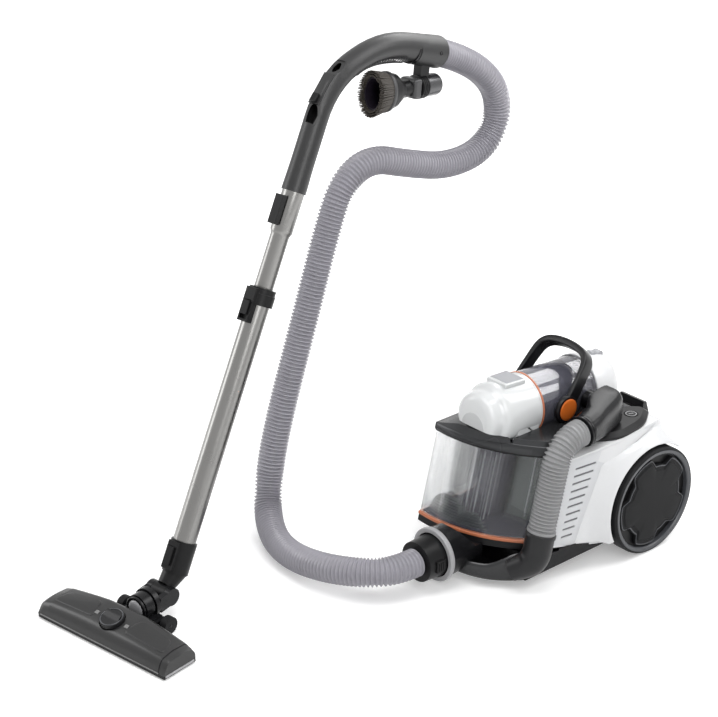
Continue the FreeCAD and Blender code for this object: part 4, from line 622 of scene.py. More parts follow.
def bent_line(corners: Sequence[Point], share: float = 0.45, radius: Optional[float] = None) -> np.ndarray:
    """Centreline of a rigid bent tube: straight legs joined by tangent arcs."""
    p = [np.array(q, float) for q in corners]
    lengths = [float(np.linalg.norm(b - a)) for a, b in zip(p, p[1:])]
    out = [p[0]]
    for i in range(1, len(p) - 1):
        before, after = unit(p[i] - p[i - 1]), unit(p[i + 1] - p[i])
        turn = math.acos(float(np.clip(before @ after, -1, 1)))
        reach = share * min(lengths[i - 1], lengths[i]) if radius is None else radius * math.tan(turn / 2)
        bend = reach / math.tan(turn / 2)
        start = p[i] - before * reach
        centre = p[i] + unit(after - before) * bend / math.cos(turn / 2)
        out += [out[-1] + (start - out[-1]) * k / 6 for k in range(1, 6)]
        u = (start - centre) / bend
        out += [centre + bend * (u * math.cos(turn * k / 14) + before * math.sin(turn * k / 14)) for k in range(15)]
    last = out[-1]
    out += [last + (p[-1] - last) * k / 6 for k in range(1, 7)]
    return np.array(out)


def half_space(a: Point, b: Point, c: Point, reach: float = 400.0) -> Form:
    """A large block on the upper side of the plane through three points, for cutting."""
    a, b, c = (np.array(q, float) for q in (a, b, c))
    normal = unit(np.cross(b - a, c - a))
    normal = normal if normal[2] > 0 else -normal
    u = unit(b - a)
    w = np.cross(normal, u)
    return prism([a + (u * i + w * j) * reach for i, j in ((-1, -1), (1, -1), (1, 1), (-1, 1))], normal * reach)


def loft_outlines(levels: Sequence[Tuple[float, Outline]]) -> Form:
    """A solid through flat outlines at their heights, all with the same number of points."""
    return rings_to_form([[(x, y, z) for x, y in outline] for z, outline in levels])


SIDES: Tuple[Tuple[str, Callable[[Form], Form]], ...] = (("left", lambda form: form), ("right", Form.mirrored))


@dataclass
class Assembly:
    """A sub-assembly, whose pieces ride on its body unless another is named."""

    workshop: Workshop
    body: str = "canister"

    def at_home(self, points: np.ndarray) -> np.ndarray:
        """Points of the sub-assembly's own drawing, moved into the canister's drawing."""
        return points

    def placed(self, form: Form) -> Form:
        """A form of the sub-assembly's own drawing, moved into the canister's drawing."""
        return form.mapped(self.at_home)

    def piece(self, name: str, form: Form, finish: Finish, body: str = "", **shape: object) -> Thing:
        """Make one piece of the sub-assembly.

        Args:
            name: The piece's name.
            form: Its mesh, in millimetres of the canister's drawing.
            finish: Its finish.
            body: The body it rides on, where that isn't the sub-assembly's own.
            shape: What else Workshop.piece takes.

        Returns:
            The new object.
        """
        return self.workshop.piece(name, form, body or self.body, finish, **shape)


# ------------------------------------------------------------------ hoses and ducts
@dataclass
class SuctionHose(Assembly):
    """The free corrugated hose from the inlet cuff to the handle."""

    diameter_mm: float = 42.0
    ribs: Corrugation = Corrugation(pitch=5.6, depth=3.2)
    route: Tuple[Point, ...] = (
        (0.0821, 0.0112, 0.0470), (0.0821, -0.0268, 0.0470), (0.0541, -0.0658, 0.0460), (-0.0079, -0.0898, 0.0370),
        (-0.0799, -0.0898, 0.0260), (-0.1479, -0.0678, 0.0230), (-0.1999, -0.0338, 0.0480),
        (-0.2059, -0.0118, 0.1450), (-0.2039, 0.0512, 0.3290), (-0.2039, 0.0922, 0.4490), (-0.2039, 0.1202, 0.5110),
        (-0.2039, 0.1742, 0.5360), (-0.2039, 0.2462, 0.5110), (-0.2039, 0.3242, 0.4890), (-0.2039, 0.3942, 0.4950),
        (-0.2039, 0.4312, 0.5300), (-0.2039, 0.4322, 0.5810), (-0.2049, 0.3992, 0.6240), (-0.2103, 0.3414, 0.6572),
        (-0.2039, 0.3019, 0.6710),
    )

    def build(self) -> Thing:
        line = smooth_route(self.route)
        millimetres = (line - np.array(self.workshop.drawing.shift)) / MM
        hose = self.piece("suction_hose", self.ribs.tube(millimetres, self.diameter_mm / 2), HOSE_GREY, angle=80,
                          replaces=["main_hose"])
        return hose


@dataclass
class SideAirway(Assembly):
    """Lower elbow, ribbed side hose and the duct that leads its air to the cyclone."""

    foot: Point = (112, -73, 94)
    bend: Point = (111, -41.07, 223)
    end: Point = (111, 1, 226)
    bend_radius: float = 44.0
    hose_radius: float = 20.0
    ribs: Corrugation = Corrugation(pitch=5.2, depth=3)
    elbow_radius: float = 21.0
    elbow_knee: Point = (112, -83, 50)
    elbow_end: Point = (86, -103, 32)
    duct_floor: float = 207.4
    sections: Tuple[Tuple[float, float, float, float], ...] = (
        (8, 89.5, 132.5, 247.6), (20, 88.6, 129.5, 248.8), (34, 87.6, 125.2, 250), (47, 78, 120.6, 251.2),
        (60, 68.4, 116.2, 252.2), (78, 66.6, 110, 253.8), (92, 66.2, 104.6, 254.8), (95.6, 66.8, 102.4, 254.2),
        (97, 69.5, 98, 251.5),
    )

    def leave(self) -> np.ndarray:
        """The direction in which the hose enters the duct."""
        return unit(np.array(self.end) - np.array(self.bend))

    def section(self, y: float, x0: float, x1: float, top: float) -> List[Point]:
        """Rounded outline of the duct at y, softest at its upper outer edge."""
        z0 = self.duct_floor
        share = share_of((y - 8) / 40)
        radii = [20 - 14 * share, 20 - 13 * share, 24, 21 - 16 * share]
        outline = eased([(x0, z0), (x1, z0), (x1, top), (x0, top)], radii, 9)
        return [(x, y, z) for x, z in outline]

    def build(self) -> None:
        """Make the elbow, the hose, its end rings and the duct."""
        up = unit((0, self.workshop.drawing.lean, 1))
        line = bent_line([self.foot, self.bend, self.end], radius=self.bend_radius)
        self.piece("side_hose_ribs", self.ribs.tube(line, self.hose_radius), SIDE_HOSE, angle=80,
                   replaces=["side_hose"])
        r = self.hose_radius
        foot_ring = lathe([(0, r - 2.5), (0, r + 0.6), (0.8, r + 1), (4, r + 0.9), (4.6, r - 2.5)],
                          np.array(self.foot) - up * 0.4, up, 72)
        self.piece("side_hose_foot_ring", foot_ring, SIDE_HOSE, angle=60)
        start = np.array(self.foot) - up * 1.5
        elbow_line = bent_line([start, self.elbow_knee, self.elbow_end])
        shares = np.linspace(0, 1, len(elbow_line))
        elbow = sweep(elbow_line, [self.elbow_radius * (1 - 0.22 * max(0, s - 0.55) / 0.45) for s in shares], 56)
        flange = lathe([(-7, self.elbow_radius - 1), (-6.4, self.elbow_radius + 1.2), (-1.4, self.elbow_radius + 1.4),
                        (-0.2, self.elbow_radius + 0.6), (-0.2, 6)], self.foot, up, 72)
        self.piece("elbow_shell", elbow + flange, DARK_GREY, angle=60, replaces=["lower_elbow"])
        duct = rings_to_form([self.section(*s) for s in self.sections])
        port = hoop([(0, 11.5), (0, 14), (19.5, 14), (19.5, 11.5)], (48.7, 80, 230), X_AXIS, 64)
        self.piece("duct_shell", duct + port, BLACK_GLOSS, angle=50, replaces=["upper_duct"])
        mouth = lathe([(0.4, 19), (0.4, 22.2), (1.2, 23), (3.4, 23), (3.8, 22.3), (4.4, 22.3), (4.8, 23), (9.4, 22.8),
                       (12, 21)], self.end, self.leave(), 80)
        self.piece("duct_collar", mouth, BLACK_GLOSS, angle=35)


# ------------------------------------------------------------------ canister body
@dataclass
class ControlDeck(Assembly):
    """Black deck with a wing on each side of the cyclone, and its two foot buttons."""

    low: float = 197.3
    rim: float = 201.2
    top: float = 207.0
    chamfer: float = 7.5
    wing: Pairs = (
        (103, 14), (108, 33), (127, 68), (120, 127), (95, 163), (80, 160), (64, 143), (58, 60), (58, 32.5),
        (88.3, 32.5), (88.3, 14))
    easing: Tuple[float, ...] = (3, 16, 16, 18, 14, 10, 8, 16, 1, 1, 1)
    button_at: Pair = (93, 126)
    button_radius: float = 10.0
    icon_radius: float = 7.6

    def wing_form(self) -> Form:
        """The left wing, with its sloping rim."""
        levels = [(self.low, 0.8), (self.low + 1, 0), (self.rim, 0.2), (self.top - 1.2, self.chamfer - 1.3),
                  (self.top, self.chamfer)]
        flat = [1] * 7 + [0] * 4
        outlines = []
        for z, move in levels:
            edge = inset(self.wing, move)
            kept = [tuple(np.array(e) * f + np.array(w) * (1 - f)) for e, w, f in zip(edge, self.wing, flat)]
            outlines.append((z, eased(kept, self.easing, 6)))
        return loft_outlines(outlines)

    def button_form(self) -> Form:
        """A foot button with a slightly dished top."""
        r = self.button_radius
        profile = [(0, 3.9), (9, 3.9), (9, r - 1), (10.2, r), (self.top - 189 - 0.7, r),
                   (self.top - 189 + 0.5, r - 0.9), (self.top - 189 + 0.3, r - 3), (self.top - 189, 0.5)]
        return lathe(profile, (*self.button_at, 189), Z_AXIS, 64)

    def icon_form(self) -> Form:
        """A thin ring with a slanted bar in it, standing on the button."""
        r, z = self.icon_radius, self.top + 0.25
        ring = hoop([(0, r - 0.5), (0, r + 0.5), (0.4, r + 0.4), (0.4, r - 0.4)], (*self.button_at, z), Z_AXIS, 64)
        x, y = self.button_at
        bar = prism([(x - 1.9, y - 3.3, z), (x - 0.9, y - 3.5, z), (x + 1.9, y + 3.3, z), (x + 0.9, y + 3.5, z)],
                    (0, 0, 0.4))
        return ring + bar

    def build(self) -> None:
        """Make both wings, the cradle below the cyclone and the two buttons."""
        shop = self.workshop
        hole = drum(-30, 40, self.button_radius + 0.5, (*self.button_at, self.top), Z_AXIS, 64)
        wing = shop.carve(self.wing_form(), cuts=[hole])
        cradle = (block((-62, 62), (52, 142), (168, 172)) + block((58.6, 62), (52, 140), (172.1, 198))
                  + block((-62, -58.6), (52, 140), (172.1, 198)))
        self.piece("deck_shell", wing + wing.mirrored() + cradle, BLACK_SATIN, bevel=0.5, segments=2, angle=40,
                   replaces=["control_deck"])
        button, icon = self.button_form(), self.icon_form()
        for (side, on_side), key in zip(SIDES, ("power", "rewind")):
            self.piece(f"foot_button_{side}", on_side(button), BLACK_SATIN, key + "_key", angle=30,
                       replaces=[key + "_button"])
            self.piece(f"foot_button_icon_{side}", on_side(icon), LIGHT_GREY, key + "_key")


@dataclass
class Flanks(Assembly):
    """White side panels: a vented front strip, a raised haunch flaring round the wheel, and the top flange."""

    front_x: float = 104.0
    front_y: float = -50.0
    slope: float = 0.2054
    hip_x: float = 126.2
    tail_y: float = 160.0
    tail_x: float = 118.0
    wheel_y: float = 130.0
    wheel_z: float = 83.0
    arch_radius: float = 87.0
    lip_x: float = 139.0
    flare: float = 26.0
    wall: float = 3.0
    raise_mm: float = 3.0
    sunk: float = 1.4
    ray_spans: Tuple[Tuple[float, float, int], ...] = ((52, 118, 36), (119.5, 208, 72))
    fade_from: float = 92.0
    fade_over: float = 26.0
    crease: Pairs = ((-5.6, 48.5), (36.7, 166.3), (104, 180), (152, 190))
    tail_edge: Pairs = ((152, 190), (166, 192), (197, 137), (206, 90))
    sill_end: Pair = (90, 28)
    slots: int = 10
    slot_half: float = 1.65
    first_slot: Triple = (171.3, -9.1, 35.1)
    slot_step: Triple = (11.65, 2.16, 1.8)

    def surface(self, y: float) -> float:
        """The panel's outer face at y: the front plane melting into the tail's."""
        front = self.front_x + self.slope * (y - self.front_y)
        back = self.hip_x + 1.2 - (y - 62) * (self.hip_x + 1.2 - self.tail_x) / (self.tail_y - 62)
        soft = 5
        return -soft * math.log(math.exp(-(front - 110) / soft) + math.exp(-(back - 110) / soft)) + 110

    def plan(self, inward: float) -> Outline:
        """The panel's plan, every wall moved in."""
        line = [(self.surface(y) - inward, y) for y in np.arange(-80, self.tail_y + 1, 8)]
        tail = eased([(self.tail_x - inward, self.tail_y), (95 - inward * 0.8, 208 - inward), (78, 212 - inward)],
                     [6, 16, 1], 6)[6:]
        inner = [(78, 190), (78, -80)] if inward else [(85, 209), (85, -80)]
        return line + [t for t in tail if t[0] > 85 or inward] + inner

    def side(self, inward: float) -> Outline:
        """The panel's outline in y and z."""
        top = 197 - inward
        return [(-90, 63 + inward), (76, 30 + inward), (221, 30 + inward), (221, 60), (212 - inward, 82),
                (199 - inward, 137), (166 - inward, top - 3), (161 - inward, top), (-90, top)]

    def box(self, inward: float) -> Form:
        """The closed block of the flank."""
        column = prism([(x, y, 20) for x, y in self.plan(inward)], (0, 0, 220))
        return self.workshop.carve(column, keeps=[side_prism(self.side(inward), 60, 160)])

    def cutters(self) -> List[Form]:
        """What every part of the flank is cut by: the leaning front and the wheel's room."""
        lean = self.workshop.drawing.leaning
        front = side_prism([(-400, 0), (self.front_y + lean(0), 0), (self.front_y + lean(260), 260), (-400, 260)], 50,
                           170)
        arch = drum(90, 170, self.arch_radius, (0, self.wheel_y, self.wheel_z), X_AXIS, 160)
        return [front, arch]

    def slot_form(self, i: int, low: float, high: float) -> Form:
        """One vent slot, or the strip behind it."""
        z, y0, length = (at - i * step for at, step in zip(self.first_slot, self.slot_step))
        rise, half = 0.045 * length, self.slot_half
        outline = [(y0, z - half), (y0 + length, z - half + rise), (y0 + length, z + half + rise), (y0, z + half)]
        return side_prism(eased(outline, [1.2] * 4, 3), low, high)

    def haunch(self) -> Form:
        """The raised facet, as rays from the arch's lip out to its creased edge."""
        angles = np.radians(np.concatenate([np.linspace(*span) for span in self.ray_spans]))
        rings = []
        for a in angles:
            d = np.array([math.cos(a), math.sin(a)])
            reach = self.edge_reach(d)
            fade = share_of((math.degrees(a) - self.fade_from) / self.fade_over)
            lift = self.raise_mm * fade - self.sunk * (1 - fade)
            bevel = min(7, 0.3 * (reach - self.arch_radius))
            radii = [self.arch_radius, self.arch_radius, self.arch_radius + 0.8, self.arch_radius + 3.2]
            spread = np.linspace(self.arch_radius + 5, max(reach - bevel, self.arch_radius + 8), 16)
            radii += list(spread) + [reach, reach]
            column = []
            for k, r in enumerate(radii):
                y, z = self.wheel_y + d[0] * r, self.wheel_z + d[1] * r
                base = self.surface(y) if y < self.tail_y else self.tail_x - (y - self.tail_y) * 0.5
                t = share_of((r - self.arch_radius - 2) / self.flare)
                swell = max(0, self.lip_x - base - lift) * (1 - t) ** 2 * (1 + 0.6 * t)
                level = base + lift + swell
                if k == 0:
                    level = base - self.wall
                elif k == 1:
                    level -= 0.9
                elif k == len(radii) - 2:
                    level = base + min(lift, 0)
                elif k == len(radii) - 1:
                    level = base - 2
                column.append((level, y, z))
            rings.append(column)
        return rings_to_form(rings)

    def edge_reach(self, d: np.ndarray) -> float:
        """Distance from the wheel's centre to the haunch's edge in direction d."""
        centre = np.array([self.wheel_y, self.wheel_z])
        best = 400
        lines = list(zip(self.crease, self.crease[1:])) + list(zip(self.tail_edge, self.tail_edge[1:]))
        lines.append((self.crease[0], self.sill_end))
        for p, q in lines:
            p, q = np.array(p) - centre, np.array(q) - centre
            edge = q - p
            det = d[0] * -edge[1] + d[1] * edge[0]
            if abs(det) < 1e-9:
                continue
            t = (p[0] * -edge[1] + p[1] * edge[0]) / det
            s = (d[0] * p[1] - d[1] * p[0]) / det
            if t > 0 and -1e-6 <= s <= 1 + 1e-6:
                best = min(best, t)
        return best if best < 399 else self.arch_radius + self.flare

    def build(self) -> None:
        """Make both panels."""
        shop = self.workshop
        slots = [self.slot_form(i, 90, 150) for i in range(self.slots)]
        facet = half_space((90, -18, 197.2), (110.6, -18.3, 187.5), (127, 66, 197.2))
        stem = lathe([(0, 0.5), (0, 5), (30, 5), (30, 11.4), (60, 11.4), (60, 0.5)], (93, 126, 160), Z_AXIS, 48)
        hollow = shop.carve(self.box(self.wall), cuts=[facet.mapped(lambda p: p - np.array([0, 0, 3.6]))])
        shell = shop.carve(self.box(0), cuts=[hollow] + self.cutters() + [facet, stem] + slots)
        lean = shop.drawing.leaning
        # The plate below is a thin overlay over the vented front strip and the shoulder band, made to carry a greyer
        # white: painted shade of the panel's own white plastic.
        strip = [(self.front_y + lean(58.5) + 2.2, 59), (self.front_y + lean(186) + 2.2, 186), (30, 190.2),
                 (62, 193.2), (130, 195), (155, 193.5), (104, 178.5), (37.2, 164.8), (-5, 47.5)]
        levels = []
        for move, rise in ((0, -1), (0, 0.35), (1, 0.9)):
            ring = inset([(y, z) for y, z in reversed(strip)], move)
            levels.append([(self.surface(y) + rise, y, z) for y, z in ring])
        plate = shop.carve(rings_to_form(levels), cuts=self.cutters() + slots)
        haunch = self.haunch()
        backing = gather([self.slot_form(i, 0, 1) for i in range(self.slots)]).mapped(lambda p: np.stack(
            [np.array([self.surface(y) for y in p[:, 1]]) - 0.5 - p[:, 0] * 1.5, p[:, 1], p[:, 2]], 1))
        for side, on_side in SIDES:
            self.piece("flank_" + side, on_side(shell), WHITE, bevel=1, segments=2, angle=34,
                       replaces=["side_panel_" + side])
            for name, form, finish in (("painted_shade_vent_plate_", plate, WHITE_PAINTED_SHADE), ("haunch_", haunch, WHITE),
                                       ("vent_backing_", backing, VENT_GREY)):
                self.piece(name + side, on_side(form), finish, angle=34)


@dataclass
class RearWheels(Assembly):
    """Two big wheels with a lighter rim, a dark well and a lobed cover plate."""

    face: float = 145.0
    inner: float = 119.0
    radius: float = 83.0
    wheel_y: float = 130.0
    wheel_z: float = 83.0
    cover_radius: float = 70.5
    notch: float = 13.5
    notch_from: float = 78.0
    lobes: int = 5

    def turned(self, profile: Outline, segments: int = 160) -> Form:
        """A form turned about the axle."""
        return lathe(profile, (0, self.wheel_y, self.wheel_z), (1, 0, 0), segments)

    def cover_ring(self, x: float, inward: float) -> List[Point]:
        """The cover plate's outline at x, moved inward."""
        points = []
        for a in np.linspace(0, 360, 240, endpoint=False):
            off = min(abs((a - self.notch_from - 72 * k + 180) % 360 - 180) for k in range(self.lobes))
            t = share_of((21 - off) / 11)
            r = self.cover_radius - inward - self.notch * t * t * (3 - 2 * t)
            turn = math.radians(a)
            points.append((x, self.wheel_y + r * math.cos(turn), self.wheel_z + r * math.sin(turn)))
        return points

    def build(self) -> None:
        """Make both wheels."""
        f, r, x0 = self.face, self.radius, self.inner
        tyre = self.turned([(x0, 76.5), (x0, 80.8), (x0 + 1.3, 82.6), (x0 + 3.4, r), (f - 5, r), (f - 2.4, r - 0.5),
                            (f - 0.8, r - 1.9), (f - 0.3, r - 3.6), (f - 3, r - 3.8), (f - 3, 76.5), (x0, 76.5)])
        rim = self.turned([(f - 9, 79.4), (f - 0.7, 79.4), (f, 78.8), (f, 77.4), (f - 0.8, 74.6), (f - 2.6, 73.2),
                           (f - 9, 72.8), (f - 9, 79.4)])
        well = self.turned([(x0 + 0.2, 76.4), (x0 + 11, 75.4), (x0 + 11, 17), (x0, 16), (x0, 7.3), (f - 9.2, 7.3),
                            (f - 9.2, 79.3), (x0 + 0.2, 79.3), (x0 + 0.2, 76.4)], 128)
        cover = rings_to_form([self.cover_ring(x, inward) for x, inward in (
            (f - 8.8, 0.6), (f - 5.2, 0), (f - 3.6, 0.5), (f - 3, 1.8), (f - 2.9, 7.2), (f - 2.2, 7.9),
            (f - 1.4, 8.9), (f - 1.2, 10.5), (f - 0.9, 30))])
        line = rings_to_form([self.cover_ring(x, inward) for x, inward in (
            (f - 3.4, 1.2), (f - 2.5, 1.5), (f - 2.3, 2.2), (f - 2.5, 2.9), (f - 3.4, 3.2))], closed_path=True)
        for side, on_side in SIDES:
            for name, form, finish, nodes in (
                    ("wheel_plate_line_", line, RIM, []), ("tyre_", tyre, TYRE, ["rear_wheel_" + side]),
                    ("wheel_rim_", rim, RIM, []), ("wheel_well_", well, BLACK_SATIN, []),
                    ("wheel_plate_", cover, TYRE, ["wheel_cover_" + side])):
                self.piece(name + side, on_side(form), finish, "wheel_" + side, angle=25, replaces=nodes)


@dataclass
class BaseFront(Assembly):
    """Glossy tray of the canister with its satin bumper and the cuff's ribbed key."""

    centre_y: float = -50.0
    radius: float = 97.0
    first: float = -156.0
    last: float = -21.0
    rise_from: float = -56.0
    rise_over: float = 32.0
    rise: float = 17.0
    lip: float = 8.6
    cuff_key: Triple = (33.6, -189, 47)

    def bumper(self) -> Form:
        """The bumper's band round the nose, rising beside the elbow."""
        rings = []
        for a in np.linspace(self.first, self.last, 90):
            t = share_of((a - self.rise_from) / self.rise_over)
            up = self.rise * t * t * (3 - 2 * t)
            c, s = math.cos(math.radians(a)), math.sin(math.radians(a))
            low = self.lip + self.lip * max(0, (-s - 0.35) / 0.65) + up * 0.1
            section = [(94, low), (97.6, low), (98.6, low + 1.2), (99.2, low + 4), (99, 27 + up), (98.4, 33 + up),
                       (97, 36.4 + up), (94.6, 37.6 + up), (92.6, 36.8 + up), (92, 34 + up)]
            rings.append([(c * r, self.centre_y + s * r, z) for r, z in section])
        return rings_to_form(rings)

    def build(self) -> None:
        """Make the tray, the bumper and the key's ribs."""
        shop = self.workshop
        below = prism([(-140, -56, 8), (-140, -156, 17.9), (-140, -156, -20), (-140, -56, -20)], (280, 0, 0))
        shop.soften("base_pan", BLACK_GLOSS, 1.6, cuts=[below])
        self.piece("front_bumper", self.bumper(), BUMPER, angle=45)
        x, y, z = self.cuff_key
        ribs = gather([block((x - 1, x + 0.9), (y + d - 1, y + d + 1), (z - 6.5, z + 6.5)) for d in (-4, 0, 4)])
        self.piece("cuff_key_ribs", ribs, BLACK_SATIN, "cuff_key", bevel=0.5, segments=2)


# ------------------------------------------------------------------ dust unit
@dataclass
class DustBin(Assembly):
    """Inside of the clear bin: faceted shroud, divider with bright ribs, slatted basket and the lid's seal."""

    body: str = "dust_unit"
    half: float = 82.0
    left_y: float = -125.0
    right_y: float = -69.5
    back_y: float = -8.0
    bulge: float = 19.0
    floor: float = 56.4
    top: float = 189.6
    shroud_at: Pair = (-24, -52)
    shroud_radius: float = 31.5
    slat_count: int = 9
    slat_pitch: float = 4.0
    slat_z: float = 67.5
    basket_z: float = 66.0
    basket_x: float = -36.0
    basket_reach: float = 37.0
    basket_height: float = 37.5

    def outline(self, grow: float, z: float, steps: int = 40) -> np.ndarray:
        """The bin's plan at height z: a bulged front, straight sides and back."""
        lean = self.workshop.drawing.leaning(z)
        a = np.array([-self.half - grow, self.left_y + lean - grow])
        b = np.array([self.half + grow, self.right_y + lean - grow])
        back = self.back_y + lean + grow
        chord = b - a
        outward = unit((chord[1], -chord[0]))
        half = np.linalg.norm(chord) / 2
        r = (half ** 2 + self.bulge ** 2) / (2 * self.bulge)
        centre = (a + b) / 2 - outward * (r - self.bulge)
        spread = math.asin(half / r)
        along = unit(chord)
        arc = [centre + r * (outward * math.cos(t) + along * math.sin(t)) for t in np.linspace(-spread, spread, steps)]
        return np.array([(*p, z) for p in arc] + [(b[0], back, z), (a[0], back, z)])

    def front_point(self, grow: float, z: float, x: float) -> Pair:
        """The point on the bin's front at x."""
        arc = self.outline(grow, z)[:40]
        return float(np.interp(x, arc[:, 0], arc[:, 0])), float(np.interp(x, arc[:, 0], arc[:, 1]))

    def shroud(self) -> Form:
        """A faceted column that leans with the bin, with a wider ledge at its top."""
        rings = []
        cx, cy = self.shroud_at
        for z, r in ((self.floor, 0.9), (self.floor + 2, 0.94), (164, 1), (166, 1.16), (174, 1.18), (174.5, 1.12),
                     (self.top - 1, 1.1)):
            lean = self.workshop.drawing.leaning(z)
            reach = r * self.shroud_radius
            rings.append([(cx + reach * math.cos(t), cy + lean + reach * math.sin(t), z)
                          for t in np.radians(np.arange(0, 360, 30) + 8)])
        return rings_to_form(rings)

    def upright(self, plan: Outline, z0: float, z1: float) -> Form:
        """A leaning solid with the same plan at both heights."""
        lean = self.workshop.drawing.leaning
        return rings_to_form([[(x, y + lean(z), z) for x, y in plan] for z in (z0, z1)])

    def strip(self, x: float, y: float, width: float, z0: float, z1: float) -> Form:
        """A thin upright rib."""
        return self.upright([(x, y - 1), (x + width, y - 1), (x + width, y + 1.4), (x, y + 1.4)], z0, z1)

    def basket(self) -> List[Form]:
        """Round-topped slats that follow the bin's front."""
        slats = []
        for i in range(self.slat_count):
            z = self.slat_z + self.slat_pitch * i
            reach = self.basket_reach * math.sqrt(max(0, 1 - ((z - self.basket_z) / self.basket_height) ** 2))
            x0, x1 = self.basket_x - reach, max(self.basket_x + reach, 26 - 3 * i if i < 6 else -99)
            xs = np.linspace(x0, x1, 18)
            front = [self.front_point(-8, z, x) for x in xs]
            back = [self.front_point(-12.5, z, x) for x in reversed(xs)]
            slats.append(prism([(x, y, z) for x, y in front + back], (0, 0.3, 1.7)))
        return slats

    def brow(self) -> Form:
        """The lid's front band, taller towards the left side of the machine."""
        rings = []
        for i in range(1, 40):
            x = self.outline(0, 195)[i][0]
            top = 200.8 + 4.4 * share_of((x + 10) / 52) ** 1.5
            section = []
            for grow, z in ((-1.4, 190.6), (2.2, 190.6), (3, 191.6), (3, top - 2.6), (2.3, top - 0.9), (0.8, top),
                            (-1.4, top)):
                section.append(self.outline(grow, z)[min(i, 39)])
            rings.append(section)
        return rings_to_form(rings)

    def build(self) -> None:
        """Make what shows through the bin, and the seal below the lid."""
        shop = self.workshop
        shop.soften("bin_shell", CLEAR, 1)
        self.piece("shroud_column", self.shroud(), SHROUD, bevel=0.8, segments=2, angle=20, replaces=["bin_shroud"])
        inner = rings_to_form([self.outline(-3.4, 66.2), self.outline(-3.4, 68)])
        self.piece("bin_inner_floor", inner, SLEEVE, bevel=0.4)
        x, y = self.shroud_at
        light = [self.strip(x - 9, y - 31.6, 1, 66, 164), self.strip(x + 7.4, y - 31.2, 1, 66, 164),
                 self.strip(x + 22.8, y - 24, 0.9, 66, 164)]
        divider = self.upright([(6, -37), (74, -27), (76, -11), (6, -11)], self.floor, self.top - 2)
        self.piece("bin_divider", divider, DIVIDER, bevel=2.5, segments=3)
        light += [self.strip(38, -33.6, 1.5, 78, 182), self.strip(74, -29, 1.6, 70, 186)]
        self.piece("bin_rib_lines", gather(light), RIB_LIGHT, bevel=0.3, segments=2)
        self.piece("basket_slats", gather(self.basket()), SLAT, bevel=0.4, segments=2, replaces=["bin_mesh"])
        seal = rings_to_form([self.outline(g, z) for g, z in ((0.6, 187.6), (1.3, 188.2), (1.3, 190.1), (0.2, 190.2))])
        hollow = rings_to_form([self.outline(-2, 180), self.outline(-2, 195)])
        self.piece("lid_seal", seal, BLACK_GLOSS, cuts=[hollow])
        shop.soften("bin_lid", LID_GREY, 2, segments=4)
        self.piece("lid_brow", self.brow(), LID_GREY, angle=50)


